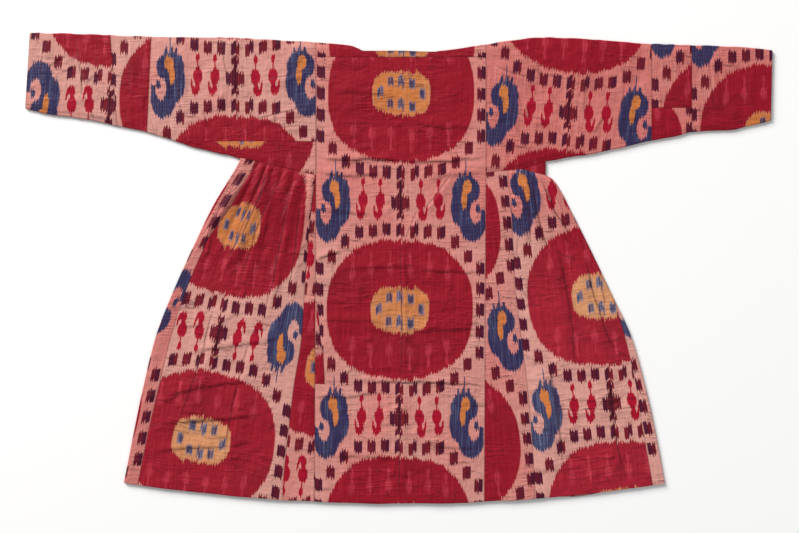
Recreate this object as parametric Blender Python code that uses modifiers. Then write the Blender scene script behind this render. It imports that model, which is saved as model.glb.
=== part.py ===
"""Ikat robe of the munisak cut, a women's chapan gathered under the arms, laid flat on its front.

The robe lies on z = 0 with its neck towards +Y and the wearer's left towards -X. Every piece of
cloth is a thin wall on a grid of points in the middle of the cloth. The fronts lie underneath and
the back lies on them; the sleeves are flattened tubes folded along the shoulder line.
"""
import math

import bmesh
import bpy
from mathutils import Vector

# Driving sizes, in metres
LOOM_WIDTH = 0.4025         # the ikat cloth as woven, which is the back panel's width
CLOTH = 0.0016              # wall of the robe's cloth
HOLLOW = 0.0022             # space between the fronts and the back
SEAM_GAP = 0.0003           # between two pieces at a seam
FOLD_STEPS = 4              # facets round a folded edge

UNDER = CLOTH / 2                         # middle of the cloth that lies on the surface
UPPER = UNDER + CLOTH + HOLLOW            # middle of the cloth that lies on it
FOLD_MIDDLE = (UNDER + UPPER) / 2
FOLD = (UPPER - UNDER) / 2                # radius of a folded edge
FOLD_QUARTER = FOLD * math.pi / 2
HALF_GAP = SEAM_GAP / 2
CROSSING_GAP = 0.0010       # each side of a seam where it crosses the folded edge

ARMHOLE_LEFT = -0.1965
ARMHOLE_RIGHT = ARMHOLE_LEFT + LOOM_WIDTH
HEM_LEFT = -0.2000                        # the back panel's corners at the hem
HEM_RIGHT = 0.2020
HEM_Y = -0.5570                           # lowest point of the hem, at the centre back
HEM_RISE = 0.0500                         # how much higher the hem is at the side seams
HEM_HALF_WIDTH = 0.650
YOKE_SEAM = 0.5000                        # back panel to neck strip
NECK_HALF_WIDTH = 0.0950
FRONT_NECK_DEPTH = 0.1700
SHOULDER_SEAM_DROP = 0.0120               # how far under the shoulder fold the front panels start
FRONT_OPENING = 0.0020                    # between the two fronts, which meet without overlapping
FRONT_HEM_SPREAD = 0.0200                 # how much wider a front panel is at its hem

GUSSET_SEAM = 0.3010                      # left sleeve to its gusset
GUSSET_TIP = -0.5120
GUSSET_TIP_CLEARANCE = 0.0030             # round the pointed end of the left gusset
LEFT_UNDERARM = -0.3740
RIGHT_UNDERARM = 0.3470
RIGHT_GUSSET_TIP = 0.2900
RIGHT_GUSSET_TIP_CLEARANCE = 0.0060
PATCH_SEAM = 0.3800                       # right middle piece to the patch below it

# The sleeves' cross seams and open ends: x at the lower edge, x at the upper edge
LEFT_CUFF_END = (-0.8840, -0.8735)
LEFT_CUFF_SEAM = (-0.6670, -0.6830)
LEFT_BAND_SEAM = (-0.5960, -0.5860)
RIGHT_UPPER_SEAM = (0.5980, 0.5980)
RIGHT_CUFF_SEAM = (0.6930, 0.6930)
RIGHT_CUFF_END = (0.8800, 0.8840)

CENTRE_FOLD = 0.0100                      # soft crease down the back panel
CENTRE_FOLD_TOP = 0.1000
WAIST_CREASE = 0.2590                     # crease across the back panel
WAIST_CREASE_REACH = 0.1900               # how far to each side of the centre it runs
CREASE_HEIGHT = 0.0012
CREASE_HALF_WIDTH = 0.0140

# Where each piece has a line of points between its seams: shares across the back panel, heights
# on it, x along the neck strip, and x along each upper sleeve and the left gusset
BACK_SHARES = (0.16, 0.30, 0.44, 0.50, 0.56, 0.70, 0.85, 1.0)
BACK_LOW_LEVELS = (-0.400,)
BACK_HIGH_LEVELS = (0.030, 0.140, WAIST_CREASE - CREASE_HALF_WIDTH, WAIST_CREASE,
                    WAIST_CREASE + CREASE_HALF_WIDTH, 0.340, 0.420)
NECK_STATIONS = (-0.150, -0.115, -NECK_HALF_WIDTH, -0.080, -0.040, -0.010, 0.010, 0.040, 0.080,
                 NECK_HALF_WIDTH, 0.125, 0.165)
LEFT_SLEEVE_STATIONS = (-0.552, GUSSET_TIP - GUSSET_TIP_CLEARANCE, GUSSET_TIP + GUSSET_TIP_CLEARANCE,
                        -0.430, -0.350, -0.270)
RIGHT_SLEEVE_STATIONS = (0.248, RIGHT_GUSSET_TIP, 0.320, RIGHT_UNDERARM, 0.400, 0.470, 0.535)
GUSSET_STATIONS = (-0.480, -0.430, LEFT_UNDERARM, -0.310, -0.250)

# The shoulder line and the sleeves' lower edges, from the left cuff to the right one: x, y
SLEEVE_TOP = (
    (-0.8840, 0.5580), (-0.7410, 0.5540), (-0.5860, 0.5480), (-0.4140, 0.5460), (-0.2690, 0.5390),
    (-0.1900, 0.5340), (-0.1150, 0.5270), (-0.0800, 0.5155), (0.0000, 0.5160), (0.0800, 0.5135),
    (0.1250, 0.5175), (0.2060, 0.5300), (0.3430, 0.5460), (0.4650, 0.5410), (0.6000, 0.5310),
    (0.7810, 0.5250), (0.8840, 0.5160),
)
SLEEVE_LOW = (
    (-0.8840, 0.3780), (-0.8260, 0.3660), (-0.7410, 0.3540), (-0.6670, 0.3380), (-0.5980, 0.3240),
    (-0.5490, 0.3090), (-0.4960, 0.2910), (-0.4140, 0.2710), (-0.3740, 0.2620), (0.3470, 0.2545),
    (0.3880, 0.2610), (0.4650, 0.2740), (0.5330, 0.2880), (0.5980, 0.3030), (0.6630, 0.3150),
    (0.6930, 0.3240), (0.7810, 0.3280), (0.8350, 0.3400), (0.8840, 0.3510),
)

# The straight seams that join the sleeves and gussets to the body between the two underarms: x, y
UNDERARM = (
    (-0.3740, 0.2620), (-0.1965, 0.2210), (0.2060, 0.2265), (0.2900, 0.2350), (0.3470, 0.2545),
)
RIGHT_GORE_CORNER = (0.3440, 0.2215)

# The body's side: its folded edge, how far the front comes round it (below 0, the seam is that
# far underneath), and the seam between the narrow gore and the wide one
SIDE_COLUMNS = ("y", "edge", "wrap", "gore_seam")
LEFT_SIDE = (
    (0.2570, -0.3745, 0.0360, -0.1990),
    (0.2210, -0.3950, 0.0410, -0.1992),
    (0.1500, -0.4380, 0.0430, -0.2070),
    (0.0600, -0.4820, 0.0260, -0.2155),
    (-0.0600, -0.5360, 0.0290, -0.2235),
    (-0.1600, -0.5745, 0.0360, -0.2300),
    (-0.2800, -0.6045, 0.0370, -0.2490),
    (-0.3900, -0.6275, 0.0340, -0.2620),
    (-0.5100, -0.6510, 0.0330, -0.2750),
)
RIGHT_SIDE = (
    (0.2215, 0.3440, -0.0600, 0.2580),
    (0.2120, 0.3625, -0.0580, 0.2588),
    (0.1900, 0.3790, -0.0550, 0.2612),
    (0.1500, 0.4000, -0.0500, 0.2652),
    (0.0600, 0.4455, -0.0350, 0.2702),
    (-0.0600, 0.5030, -0.0120, 0.2764),
    (-0.0840, 0.5145, -0.0030, 0.2795),
    (-0.0940, 0.5190, 0.0030, 0.2808),
    (-0.1600, 0.5487, 0.0145, 0.2892),
    (-0.2800, 0.5825, 0.0210, 0.3044),
    (-0.3900, 0.6070, 0.0285, 0.3140),
    (-0.5150, 0.6300, 0.0290, 0.3220),
)
LEFT_ROWS = (-0.420, -0.300, -0.180, -0.080, 0.000, 0.070, 0.120, 0.160, 0.200)
RIGHT_ROWS = (-0.420, -0.300, -0.180, -0.094, -0.089, -0.084, 0.000, 0.070, 0.130, 0.175, 0.203)

# The piecing strip let into the back panel's left edge: its inner edge from top to bottom, y, x
STRIP = (
    (-0.0800, -0.1945), (-0.1100, -0.1900), (-0.1600, -0.1865), (-0.2050, -0.1790), (-0.2740, -0.1755),
)

# Gathers under the arms, for each gore: its ridges, their height, and how far down they fade out
GATHERS = {
    "left": (7, 0.0034, 0.110),
    "right": (4, 0.0030, 0.090),
}
GATHER_START = 0.0120                     # how far below the seam they reach their height

CRIMSON = (0.318, 0.022, 0.042)
ROSE = (0.520, 0.170, 0.150)
MADDER = (0.250, 0.018, 0.030)

SAME_POINT = 0.00002                      # two grid points nearer than this are one
SETTLING_STEPS = 8


def mix(a, b, t):
    return a + (b - a) * t


def evenly(count, start=0.0, end=1.0):
    return [mix(start, end, i / count) for i in range(count + 1)]


def read(table, key, column=1):
    """A column of a table at a value of its first column, on a smooth curve through its rows."""
    rows = sorted(table)
    keys = [row[0] for row in rows]
    values = [row[column] for row in rows]
    key = min(max(key, keys[0]), keys[-1])
    last = len(rows) - 1
    i = max(j for j in range(last) if keys[j] <= key)

    def slope(j):
        before = (values[j] - values[j - 1]) / (keys[j] - keys[j - 1]) if j > 0 else None
        after = (values[j + 1] - values[j]) / (keys[j + 1] - keys[j]) if j < last else None
        if before is None or after is None:
            return after if before is None else before
        return 2 * before * after / (before + after) if before * after > 0 else 0.0

    span = keys[i + 1] - keys[i]
    t = (key - keys[i]) / span
    a, b = slope(i) * span, slope(i + 1) * span
    change = values[i + 1] - values[i]
    return values[i] + t * (a + t * (3 * change - 2 * a - b + t * (a + b - 2 * change)))


def side_value(table, y, name):
    return read(table, y, SIDE_COLUMNS.index(name))


def hem(x):
    return HEM_Y + HEM_RISE * (x / HEM_HALF_WIDTH) ** 2


def sleeve_top(x):
    return read(SLEEVE_TOP, x)


def straight(table, key):
    """The second column of a table at a value of its first, on straight lines through its rows."""
    before = max((row for row in table if row[0] <= key), default=table[0])
    after = min((row for row in table if row[0] > key), default=table[-1])
    share = (key - before[0]) / (after[0] - before[0]) if after[0] > before[0] else 0.0
    return mix(before[1], after[1], share)


def sleeve_low(x):
    return straight(UNDERARM, x) if LEFT_UNDERARM <= x <= RIGHT_UNDERARM else read(SLEEVE_LOW, x)


def gore_top(x):
    """The seam along the top of the gores, which dips under the right gusset."""
    if x <= RIGHT_GUSSET_TIP:
        return sleeve_low(max(x, LEFT_UNDERARM))
    tip = (RIGHT_GUSSET_TIP, straight(UNDERARM, RIGHT_GUSSET_TIP))
    return straight((tip, RIGHT_GORE_CORNER), x)


def back_edge(side, y):
    """The back panel's long edges, from the armhole down to the hem."""
    armhole, corner = (ARMHOLE_LEFT, HEM_LEFT) if side < 0 else (ARMHOLE_RIGHT, HEM_RIGHT)
    return mix(corner, armhole, min(1.0, (y - HEM_Y) / (sleeve_low(armhole) - HEM_Y)))


def ridge(distance, half_width):
    """The shape of a soft crease across its length: 1 on it and 0 past its width."""
    near = max(0.0, 1.0 - abs(distance) / half_width)
    return near * near * (3 - 2 * near)


def colour(name, rgb):
    material = bpy.data.materials.new(name)
    material.use_nodes = True
    shader = material.node_tree.nodes["Principled BSDF"]
    shader.inputs["Base Color"].default_value = (*rgb, 1.0)
    shader.inputs["Roughness"].default_value = 0.62
    shader.inputs["Metallic"].default_value = 0.0
    return material


def cloth(name, rows, rgb, keep=None):
    """A wall of cloth on a grid of points; keep says which cells of the grid are cloth."""
    shape = bmesh.new()
    grid = [[shape.verts.new(point) for point in row] for row in rows]
    for r in range(len(grid) - 1):
        for c in range(len(grid[r]) - 1):
            if keep is None or keep(r, c):
                shape.faces.new((grid[r][c], grid[r][c + 1], grid[r + 1][c + 1], grid[r + 1][c]))
    bmesh.ops.remove_doubles(shape, verts=shape.verts, dist=SAME_POINT)
    loose = [vert for vert in shape.verts if not vert.link_faces]
    bmesh.ops.delete(shape, geom=loose, context="VERTS")
    mesh = bpy.data.meshes.new(name)
    shape.to_mesh(mesh)
    shape.free()
    mesh.materials.append(colour(name + "_cloth", rgb))
    piece = bpy.data.objects.new(name, mesh)
    wall = piece.modifiers.new("wall", "SOLIDIFY")
    wall.thickness = CLOTH
    wall.offset = 0.0
    robe.objects.link(piece)
    return piece


# The body: rows of points at set heights, each from one seam to the next

def row_heights(x, levels, fold_x):
    """How high each row is at x: levels are its heights at the body's folded edge."""
    low, high = hem(fold_x), gore_top(fold_x)
    shares = [0.0] + [(y - low) / (high - low) for y in levels] + [1.0]
    return [mix(hem(x), gore_top(x) - HALF_GAP, share) for share in shares]


def settle(x_at, row, levels, fold_x):
    """The point of a slanting line on a row, where its x and its y depend on each other."""
    x = fold_x
    for _ in range(SETTLING_STEPS):
        y = row_heights(x, levels, fold_x)[row]
        x = x_at(y)
    return x, y


def fold_point(side, table, around, row, levels, fold_x):
    """A point so far round the body's folded edge from its outermost line, back side positive."""
    turn = max(-math.pi / 2, min(math.pi / 2, around / FOLD))
    inward = FOLD - FOLD * math.cos(turn) + max(0.0, abs(around) - FOLD_QUARTER)
    x, y = settle(lambda y: side_value(table, y, "edge") - side * inward, row, levels, fold_x)
    return Vector((x, y, FOLD_MIDDLE + FOLD * math.sin(turn)))


def gathered(gore, u, depth):
    """Height of the gathers at u across a gore and so far below its top."""
    ridges, height, fade = GATHERS[gore]
    rise = min(1.0, depth / GATHER_START)
    return height * math.sin(math.pi * ridges * u) ** 2 * rise * math.exp(-(depth / fade) ** 2)


def body_side(side):
    """The gores of one side: narrow, wide, and the front that wraps round the folded edge."""
    table, levels, where = (
        (LEFT_SIDE, LEFT_ROWS, "left") if side < 0 else (RIGHT_SIDE, RIGHT_ROWS, "right")
    )
    fold_x = sorted(table)[-1][1]
    count = len(levels) + 2
    ridges = GATHERS[where][0]

    def edge_of_back(y):
        return back_edge(side, y) + side * HALF_GAP

    def gore_seam(y):
        return side * max(side * side_value(table, y, "gore_seam"), side * edge_of_back(y))

    def front_seam(y):
        share = (y - HEM_Y) / (gore_top(ARMHOLE_RIGHT) - HEM_Y)
        armhole = ARMHOLE_RIGHT if side > 0 else ARMHOLE_LEFT
        return armhole + side * (HALF_GAP + FRONT_HEM_SPREAD * (1 - min(1.0, share)))

    def seam_round(row):
        """How far round the folded edge the side seam is on a row."""
        y = row_heights(fold_x, levels, fold_x)[row]
        wrap = side_value(table, y, "wrap")
        return wrap + math.copysign(FOLD_QUARTER - FOLD, wrap) if abs(wrap) > FOLD_QUARTER else wrap

    narrow, wide, front = [], [], []
    for row in range(count):
        narrow.append([
            Vector((*settle(lambda y, u=u: mix(edge_of_back(y), gore_seam(y) - side * HALF_GAP, u),
                            row, levels, fold_x), UPPER))
            for u in evenly(3)
        ])
        seam = seam_round(row)
        gap = CROSSING_GAP if abs(seam) <= 1.5 * FOLD_QUARTER else HALF_GAP
        back_end = max(seam + gap, FOLD_QUARTER)
        gore = []
        for u in evenly(2 * ridges):
            x, y = settle(
                lambda y, u=u: mix(
                    gore_seam(y) + side * HALF_GAP,
                    side_value(table, y, "edge") - side * (back_end - FOLD_QUARTER + FOLD), u),
                row, levels, fold_x)
            lift = gathered(where, u, gore_top(x) - y)
            gore.append(Vector((x, y, UPPER + lift)))
        for turn in evenly(FOLD_STEPS, FOLD_QUARTER, -FOLD_QUARTER)[1:]:
            gore.append(fold_point(side, table, max(turn, seam + gap), row, levels, fold_x))
        gore.append(fold_point(side, table, seam + gap, row, levels, fold_x))
        wide.append(gore)

        front_end = seam - gap
        wrap = [
            fold_point(side, table, min(front_end, mix(max(FOLD_QUARTER, front_end), FOLD_QUARTER, u)),
                       row, levels, fold_x)
            for u in evenly(2)
        ]
        for turn in evenly(FOLD_STEPS, FOLD_QUARTER, -FOLD_QUARTER)[1:]:
            wrap.append(fold_point(side, table, min(turn, front_end), row, levels, fold_x))
        start = min(-FOLD_QUARTER, front_end)
        for u in evenly(5)[1:]:
            x, y = settle(
                lambda y, u=u: mix(
                    side_value(table, y, "edge") - side * (FOLD - start - FOLD_QUARTER),
                    front_seam(y), u),
                row, levels, fold_x)
            wrap.append(Vector((x, y, UNDER)))
        front.append(wrap)

    cloth(f"back_gore_{where}_narrow", narrow, ROSE)
    cloth(f"back_gore_{where}_wide", wide, CRIMSON)
    cloth(f"front_side_{where}", front, ROSE)


def back_panel():
    """The loom width down the centre back, with its crease lines and the notch for its strip."""
    top, bottom = STRIP[0][0], STRIP[-1][0]
    beside_strip = [bottom + SEAM_GAP, *[y for y, _ in reversed(STRIP[1:-1])], top]
    levels = [None, *BACK_LOW_LEVELS, bottom - SEAM_GAP, *beside_strip, top + 2 * SEAM_GAP,
              *BACK_HIGH_LEVELS, YOKE_SEAM - HALF_GAP]
    rows = []
    for level in levels:
        y = hem(0) if level is None else level
        left = read(STRIP, y) if level in beside_strip else back_edge(-1, y)
        right = back_edge(1, y) - HALF_GAP
        row = [left + HALF_GAP] + [mix(back_edge(-1, y), right, u) for u in BACK_SHARES]
        points = []
        for x in row:
            down = hem(x) if level is None else y
            centre = ridge(x - CENTRE_FOLD, CREASE_HALF_WIDTH) if y < CENTRE_FOLD_TOP else 0.0
            waist = ridge(y - WAIST_CREASE, CREASE_HALF_WIDTH) if abs(x) < WAIST_CREASE_REACH else 0.0
            points.append(Vector((x, down, UPPER + CREASE_HEIGHT * max(centre, waist))))
        rows.append(points)
    cloth("back_centre_panel", rows, CRIMSON)

    strip = []
    for y, inner in STRIP:
        down = y - SEAM_GAP if y == top else y + SEAM_GAP if y == bottom else y
        outer = back_edge(-1, down) + HALF_GAP
        strip.append([Vector((mix(outer, inner - HALF_GAP, u), down, UPPER)) for u in (0, 1)])
    cloth("back_piecing_strip", strip, MADDER)


def neck_strip():
    """The strip behind the neck, folded over the shoulders on each side of the neck opening."""
    stations = [ARMHOLE_LEFT + HALF_GAP, *NECK_STATIONS, ARMHOLE_RIGHT - HALF_GAP]
    columns = []
    for x in stations:
        shoulder = sleeve_top(x) - FOLD
        column = [Vector((x, mix(YOKE_SEAM + HALF_GAP, shoulder, f), UPPER)) for f in (0, 0.5, 1)]
        for turn in evenly(FOLD_STEPS, math.pi / 2, -math.pi / 2)[1:]:
            column.append(Vector((x, shoulder + FOLD * math.cos(turn),
                                  FOLD_MIDDLE + FOLD * math.sin(turn))))
        column.append(Vector((x, sleeve_top(x) - SHOULDER_SEAM_DROP + HALF_GAP, UNDER)))
        columns.append(column)

    def keep(station, step):
        beside_neck = min(stations[station], stations[station + 1], key=abs)
        return step < 2 or abs(beside_neck) >= NECK_HALF_WIDTH

    cloth("neck_strip", columns, CRIMSON, keep)


def front_panels():
    """The two fronts underneath, which meet at the centre and are cut away at the neck."""
    for side, where in ((-1, "left"), (1, "right")):
        armhole = ARMHOLE_RIGHT if side > 0 else ARMHOLE_LEFT
        centre = side * FRONT_OPENING / 2
        beside = [x for x in NECK_STATIONS if x * side > 0]
        tops = [centre, *sorted(beside, key=abs), armhole - side * HALF_GAP]
        columns = []
        for x_top in tops:
            x_hem = x_top + side * FRONT_HEM_SPREAD * (x_top - centre) / (tops[-1] - centre)
            neckline = FRONT_NECK_DEPTH * math.sqrt(max(0.0, 1 - abs(x_top) / NECK_HALF_WIDTH))
            top = sleeve_top(x_top) - SHOULDER_SEAM_DROP - HALF_GAP - neckline
            columns.append([
                Vector((x_hem, hem(x_hem), UNDER)),
                Vector((x_top, sleeve_low(armhole), UNDER)),
                Vector((x_top, top, UNDER)),
            ])
        cloth(f"front_panel_{where}", columns, ROSE)


# The sleeves: loops round a flattened tube

def sleeve(name, seam_a, seam_b, stations, rgb, low=None, high=None, low_fold=True, top_fold=True,
           open_below=None):
    """Part of a sleeve between two cross seams, each given by its x at the lower and upper edge.

    low and high are the heights of its long edges, where it has no fold there. open_below says at
    which x the lower fold is left out, because another piece is sewn in.
    """
    def low_edge(x):
        return low(x) if low else sleeve_low(x) + FOLD

    def high_edge(x):
        return high(x) if high else sleeve_top(x) - FOLD

    def place(s, f, out, z):
        x = mix(mix(*seam_a, f), mix(*seam_b, f), s)
        return Vector((x, mix(low_edge(x), high_edge(x), f) + out, z))

    turns = evenly(FOLD_STEPS, math.pi / 2, -math.pi / 2)
    loops = []
    for s in stations:
        loop = []
        if top_fold:
            loop += [place(s, f, 0, UPPER) for f in evenly(5)]
            loop += [place(s, 1, FOLD * math.cos(a), FOLD_MIDDLE + FOLD * math.sin(a))
                     for a in turns[1:-1]]
            loop += [place(s, f, 0, UNDER) for f in evenly(2, 1, 0)]
        else:
            loop += [place(s, 1, 0, UPPER)]
        if low_fold:
            if not top_fold:
                loop += [place(s, 0.5, 0, UPPER), place(s, 0, 0, UPPER)]
            bends = [place(s, 0, -FOLD * math.cos(a), FOLD_MIDDLE + FOLD * math.sin(a))
                     for a in turns[1:-1]]
            loop += bends[::-1] + [place(s, 0, 0, UPPER)] if top_fold else bends
            if not top_fold:
                loop += [place(s, f, 0, UNDER) for f in evenly(2)]
        loops.append(loop)

    fold_start = 5 + FOLD_STEPS + 2 if top_fold else 2
    fold_end = fold_start + FOLD_STEPS

    def keep(station, step):
        if open_below is None or not fold_start <= step < fold_end:
            return True
        x = mix(mix(*seam_a, 0), mix(*seam_b, 0), (stations[station] + stations[station + 1]) / 2)
        return not open_below(x)

    cloth(name, loops, rgb, keep)


def stations_between(start, end, marks):
    """Shares of the way from start to end, at both ends and at the marks between them."""
    return [0.0] + sorted((x - start) / (end - start) for x in marks) + [1.0]


def moved(seam, distance):
    return seam[0] + distance, seam[1] + distance


def sleeves():
    sleeve("sleeve_left_cuff", LEFT_CUFF_END, moved(LEFT_CUFF_SEAM, -HALF_GAP), evenly(4), ROSE)
    sleeve("sleeve_left_band", moved(LEFT_CUFF_SEAM, HALF_GAP), moved(LEFT_BAND_SEAM, -HALF_GAP),
           evenly(2), CRIMSON)
    start, end = moved(LEFT_BAND_SEAM, HALF_GAP), (ARMHOLE_LEFT - HALF_GAP,) * 2
    sleeve(
        "sleeve_left_upper", start, end, stations_between(start[0], end[0], LEFT_SLEEVE_STATIONS), ROSE,
        low=lambda x: GUSSET_SEAM + HALF_GAP if x > GUSSET_TIP else sleeve_low(x) + FOLD,
        open_below=lambda x: x > GUSSET_TIP - GUSSET_TIP_CLEARANCE)

    start, end = (ARMHOLE_RIGHT + HALF_GAP,) * 2, moved(RIGHT_UPPER_SEAM, -HALF_GAP)
    corner = RIGHT_UNDERARM + 2 * FOLD
    marks = (*RIGHT_SLEEVE_STATIONS, corner - CROSSING_GAP, corner + CROSSING_GAP)
    sleeve(
        "sleeve_right_upper", start, end, stations_between(start[0], end[0], marks), ROSE,
        low=lambda x: sleeve_low(x) + (HALF_GAP if x < corner else FOLD),
        open_below=lambda x: x < corner)
    middle = moved(RIGHT_UPPER_SEAM, HALF_GAP), moved(RIGHT_CUFF_SEAM, -HALF_GAP)
    sleeve("sleeve_right_middle", *middle, evenly(2), ROSE,
           low=lambda x: PATCH_SEAM + HALF_GAP, low_fold=False)
    sleeve("sleeve_right_middle_patch", *middle, evenly(2), CRIMSON,
           high=lambda x: PATCH_SEAM - HALF_GAP, top_fold=False)
    sleeve("sleeve_right_cuff", moved(RIGHT_CUFF_SEAM, HALF_GAP), RIGHT_CUFF_END, evenly(4), CRIMSON)


def gussets():
    """The pieces let in under the arms, folded round the sleeve and the body's side."""
    start, end = GUSSET_TIP + GUSSET_TIP_CLEARANCE, ARMHOLE_LEFT - HALF_GAP
    corner = LEFT_UNDERARM - 2 * FOLD
    marks = (*GUSSET_STATIONS, corner - CROSSING_GAP, corner + CROSSING_GAP)
    sleeve(
        "gusset_left", (start, start), (end, end), stations_between(start, end, marks), CRIMSON,
        low=lambda x: sleeve_low(x) + (FOLD if x < corner else HALF_GAP),
        high=lambda x: GUSSET_SEAM - HALF_GAP, top_fold=False,
        open_below=lambda x: x > corner - CROSSING_GAP)

    edge = RIGHT_UNDERARM - SEAM_GAP
    flat = evenly(3, RIGHT_GUSSET_TIP + RIGHT_GUSSET_TIP_CLEARANCE, edge - FOLD)
    columns = [(x, x, UPPER) for x in flat]
    for turn in evenly(FOLD_STEPS, math.pi / 2, -math.pi / 2)[1:-1]:
        columns.append((edge - FOLD, edge - FOLD + FOLD * math.cos(turn),
                        FOLD_MIDDLE + FOLD * math.sin(turn)))
    columns += [(x, x, UNDER) for x in reversed(flat)]
    rows = []
    for v in evenly(2):
        rows.append([
            Vector((x, mix(gore_top(at) + CROSSING_GAP, sleeve_low(at) - HALF_GAP, v), z))
            for at, x, z in columns
        ])
    cloth("gusset_right", rows, MADDER)


for leftover in list(bpy.data.objects):
    bpy.data.objects.remove(leftover, do_unlink=True)
robe = bpy.data.collections.new("uzbek_chapan_robe")
bpy.context.scene.collection.children.link(robe)

body_side(-1)
body_side(1)
back_panel()
neck_strip()
front_panels()
sleeves()
gussets()
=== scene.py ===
"""Looks of an ikat robe laid flat on its front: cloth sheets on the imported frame, and their ikat."""
import math

import bpy
import numpy as np
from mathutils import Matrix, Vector


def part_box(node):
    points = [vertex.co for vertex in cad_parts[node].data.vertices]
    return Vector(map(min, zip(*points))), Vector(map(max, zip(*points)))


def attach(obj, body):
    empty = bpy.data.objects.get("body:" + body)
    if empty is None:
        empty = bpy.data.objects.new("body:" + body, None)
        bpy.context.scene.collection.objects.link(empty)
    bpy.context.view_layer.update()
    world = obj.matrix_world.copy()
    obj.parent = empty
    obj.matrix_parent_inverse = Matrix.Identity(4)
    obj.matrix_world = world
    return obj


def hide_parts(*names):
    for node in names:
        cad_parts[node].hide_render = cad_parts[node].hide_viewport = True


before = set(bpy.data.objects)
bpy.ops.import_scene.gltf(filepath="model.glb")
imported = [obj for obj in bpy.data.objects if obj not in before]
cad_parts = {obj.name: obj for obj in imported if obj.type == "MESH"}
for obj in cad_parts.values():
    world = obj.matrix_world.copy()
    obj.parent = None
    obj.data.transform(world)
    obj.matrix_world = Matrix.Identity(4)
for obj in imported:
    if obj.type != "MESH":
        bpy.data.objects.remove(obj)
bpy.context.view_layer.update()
bpy.ops.object.select_all(action="DESELECT")

# Sizes in metres, the same as the frame's. Heights are of the middle of the cloth's wall.
CLOTH = 0.0016              # thickness of the wall
HOLLOW = 0.0022             # between the front and the back
UNDER = CLOTH / 2
UPPER = UNDER + CLOTH + HOLLOW
FOLD_MIDDLE = (UNDER + UPPER) / 2
FOLD = (UPPER - UNDER) / 2  # radius of a folded edge
FOLD_QUARTER = FOLD * math.pi / 2
HALF_GAP = 0.00015          # half of the gap at a seam

# The left side is -1 and the right side 1, here and in all that follows
ARMHOLE = {-1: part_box("neck_strip")[0][0], 1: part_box("neck_strip")[1][0]}
YOKE_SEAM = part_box("neck_strip")[0][1]
GUSSET_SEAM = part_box("gusset_left")[1][1]
PATCH_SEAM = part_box("sleeve_right_middle_patch")[1][1]
HEM_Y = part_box("back_centre_panel")[0][1]
HEM_CORNER = {-1: -0.2000, 1: 0.2020}
HEM_RISE = 0.0500
HEM_HALF_WIDTH = 0.650
LEFT_UNDERARM = -0.3740
RIGHT_UNDERARM = 0.3470
RIGHT_GUSSET_TIP = 0.2900
GUSSET_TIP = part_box("gusset_left")[0][0]
NECK_HALF_WIDTH = 0.0950
FRONT_NECK_DEPTH = 0.1700
FRONT_GAP = 0.002           # between the two fronts
SHOULDER_SEAM_DROP = 0.0120
FRONT_HEM_SPREAD = 0.0200

FINE_CELL = 0.0034          # spacing of the grid on the back, which carries the creases
PLAIN_CELL = 0.0120         # and underneath, where the cloth lies flat
REPEAT = 0.512              # length of the ikat's repeat

# The sleeves' cross seams and open ends: x at the lower edge, x at the upper edge
LEFT_CUFF_END = (-0.8840, -0.8735)
LEFT_CUFF_SEAM = (-0.6670, -0.6830)
LEFT_BAND_SEAM = (-0.5960, -0.5860)
RIGHT_UPPER_SEAM = (0.5980, 0.5980)
RIGHT_CUFF_SEAM = (0.6930, 0.6930)
RIGHT_CUFF_END = (0.8800, 0.8840)

# The shoulder line and the sleeves' lower edges, from the left cuff to the right one: x, y
SLEEVE_TOP = (
    (-0.8840, 0.5580), (-0.7410, 0.5540), (-0.5860, 0.5480), (-0.4140, 0.5460), (-0.2690, 0.5390),
    (-0.1900, 0.5340), (-0.1150, 0.5270), (-0.0800, 0.5155), (0.0000, 0.5160), (0.0800, 0.5135),
    (0.1250, 0.5175), (0.2060, 0.5300), (0.3430, 0.5460), (0.4650, 0.5410), (0.6000, 0.5310),
    (0.7810, 0.5250), (0.8840, 0.5160),
)
SLEEVE_LOW = (
    (-0.8840, 0.3780), (-0.8260, 0.3660), (-0.7410, 0.3540), (-0.6670, 0.3380), (-0.5980, 0.3240),
    (-0.5490, 0.3090), (-0.4960, 0.2910), (-0.4140, 0.2710), (-0.3740, 0.2620), (0.3470, 0.2545),
    (0.3880, 0.2610), (0.4650, 0.2740), (0.5330, 0.2880), (0.5980, 0.3030), (0.6630, 0.3150),
    (0.6930, 0.3240), (0.7810, 0.3280), (0.8350, 0.3400), (0.8840, 0.3510),
)
# The straight seams that join the sleeves and gussets to the body between the two underarms: x, y
UNDERARM = (
    (-0.3740, 0.2620), (-0.1965, 0.2210), (0.2060, 0.2265), (0.2900, 0.2350), (0.3470, 0.2545),
)
RIGHT_GORE_CORNER = (0.3440, 0.2215)
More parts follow.
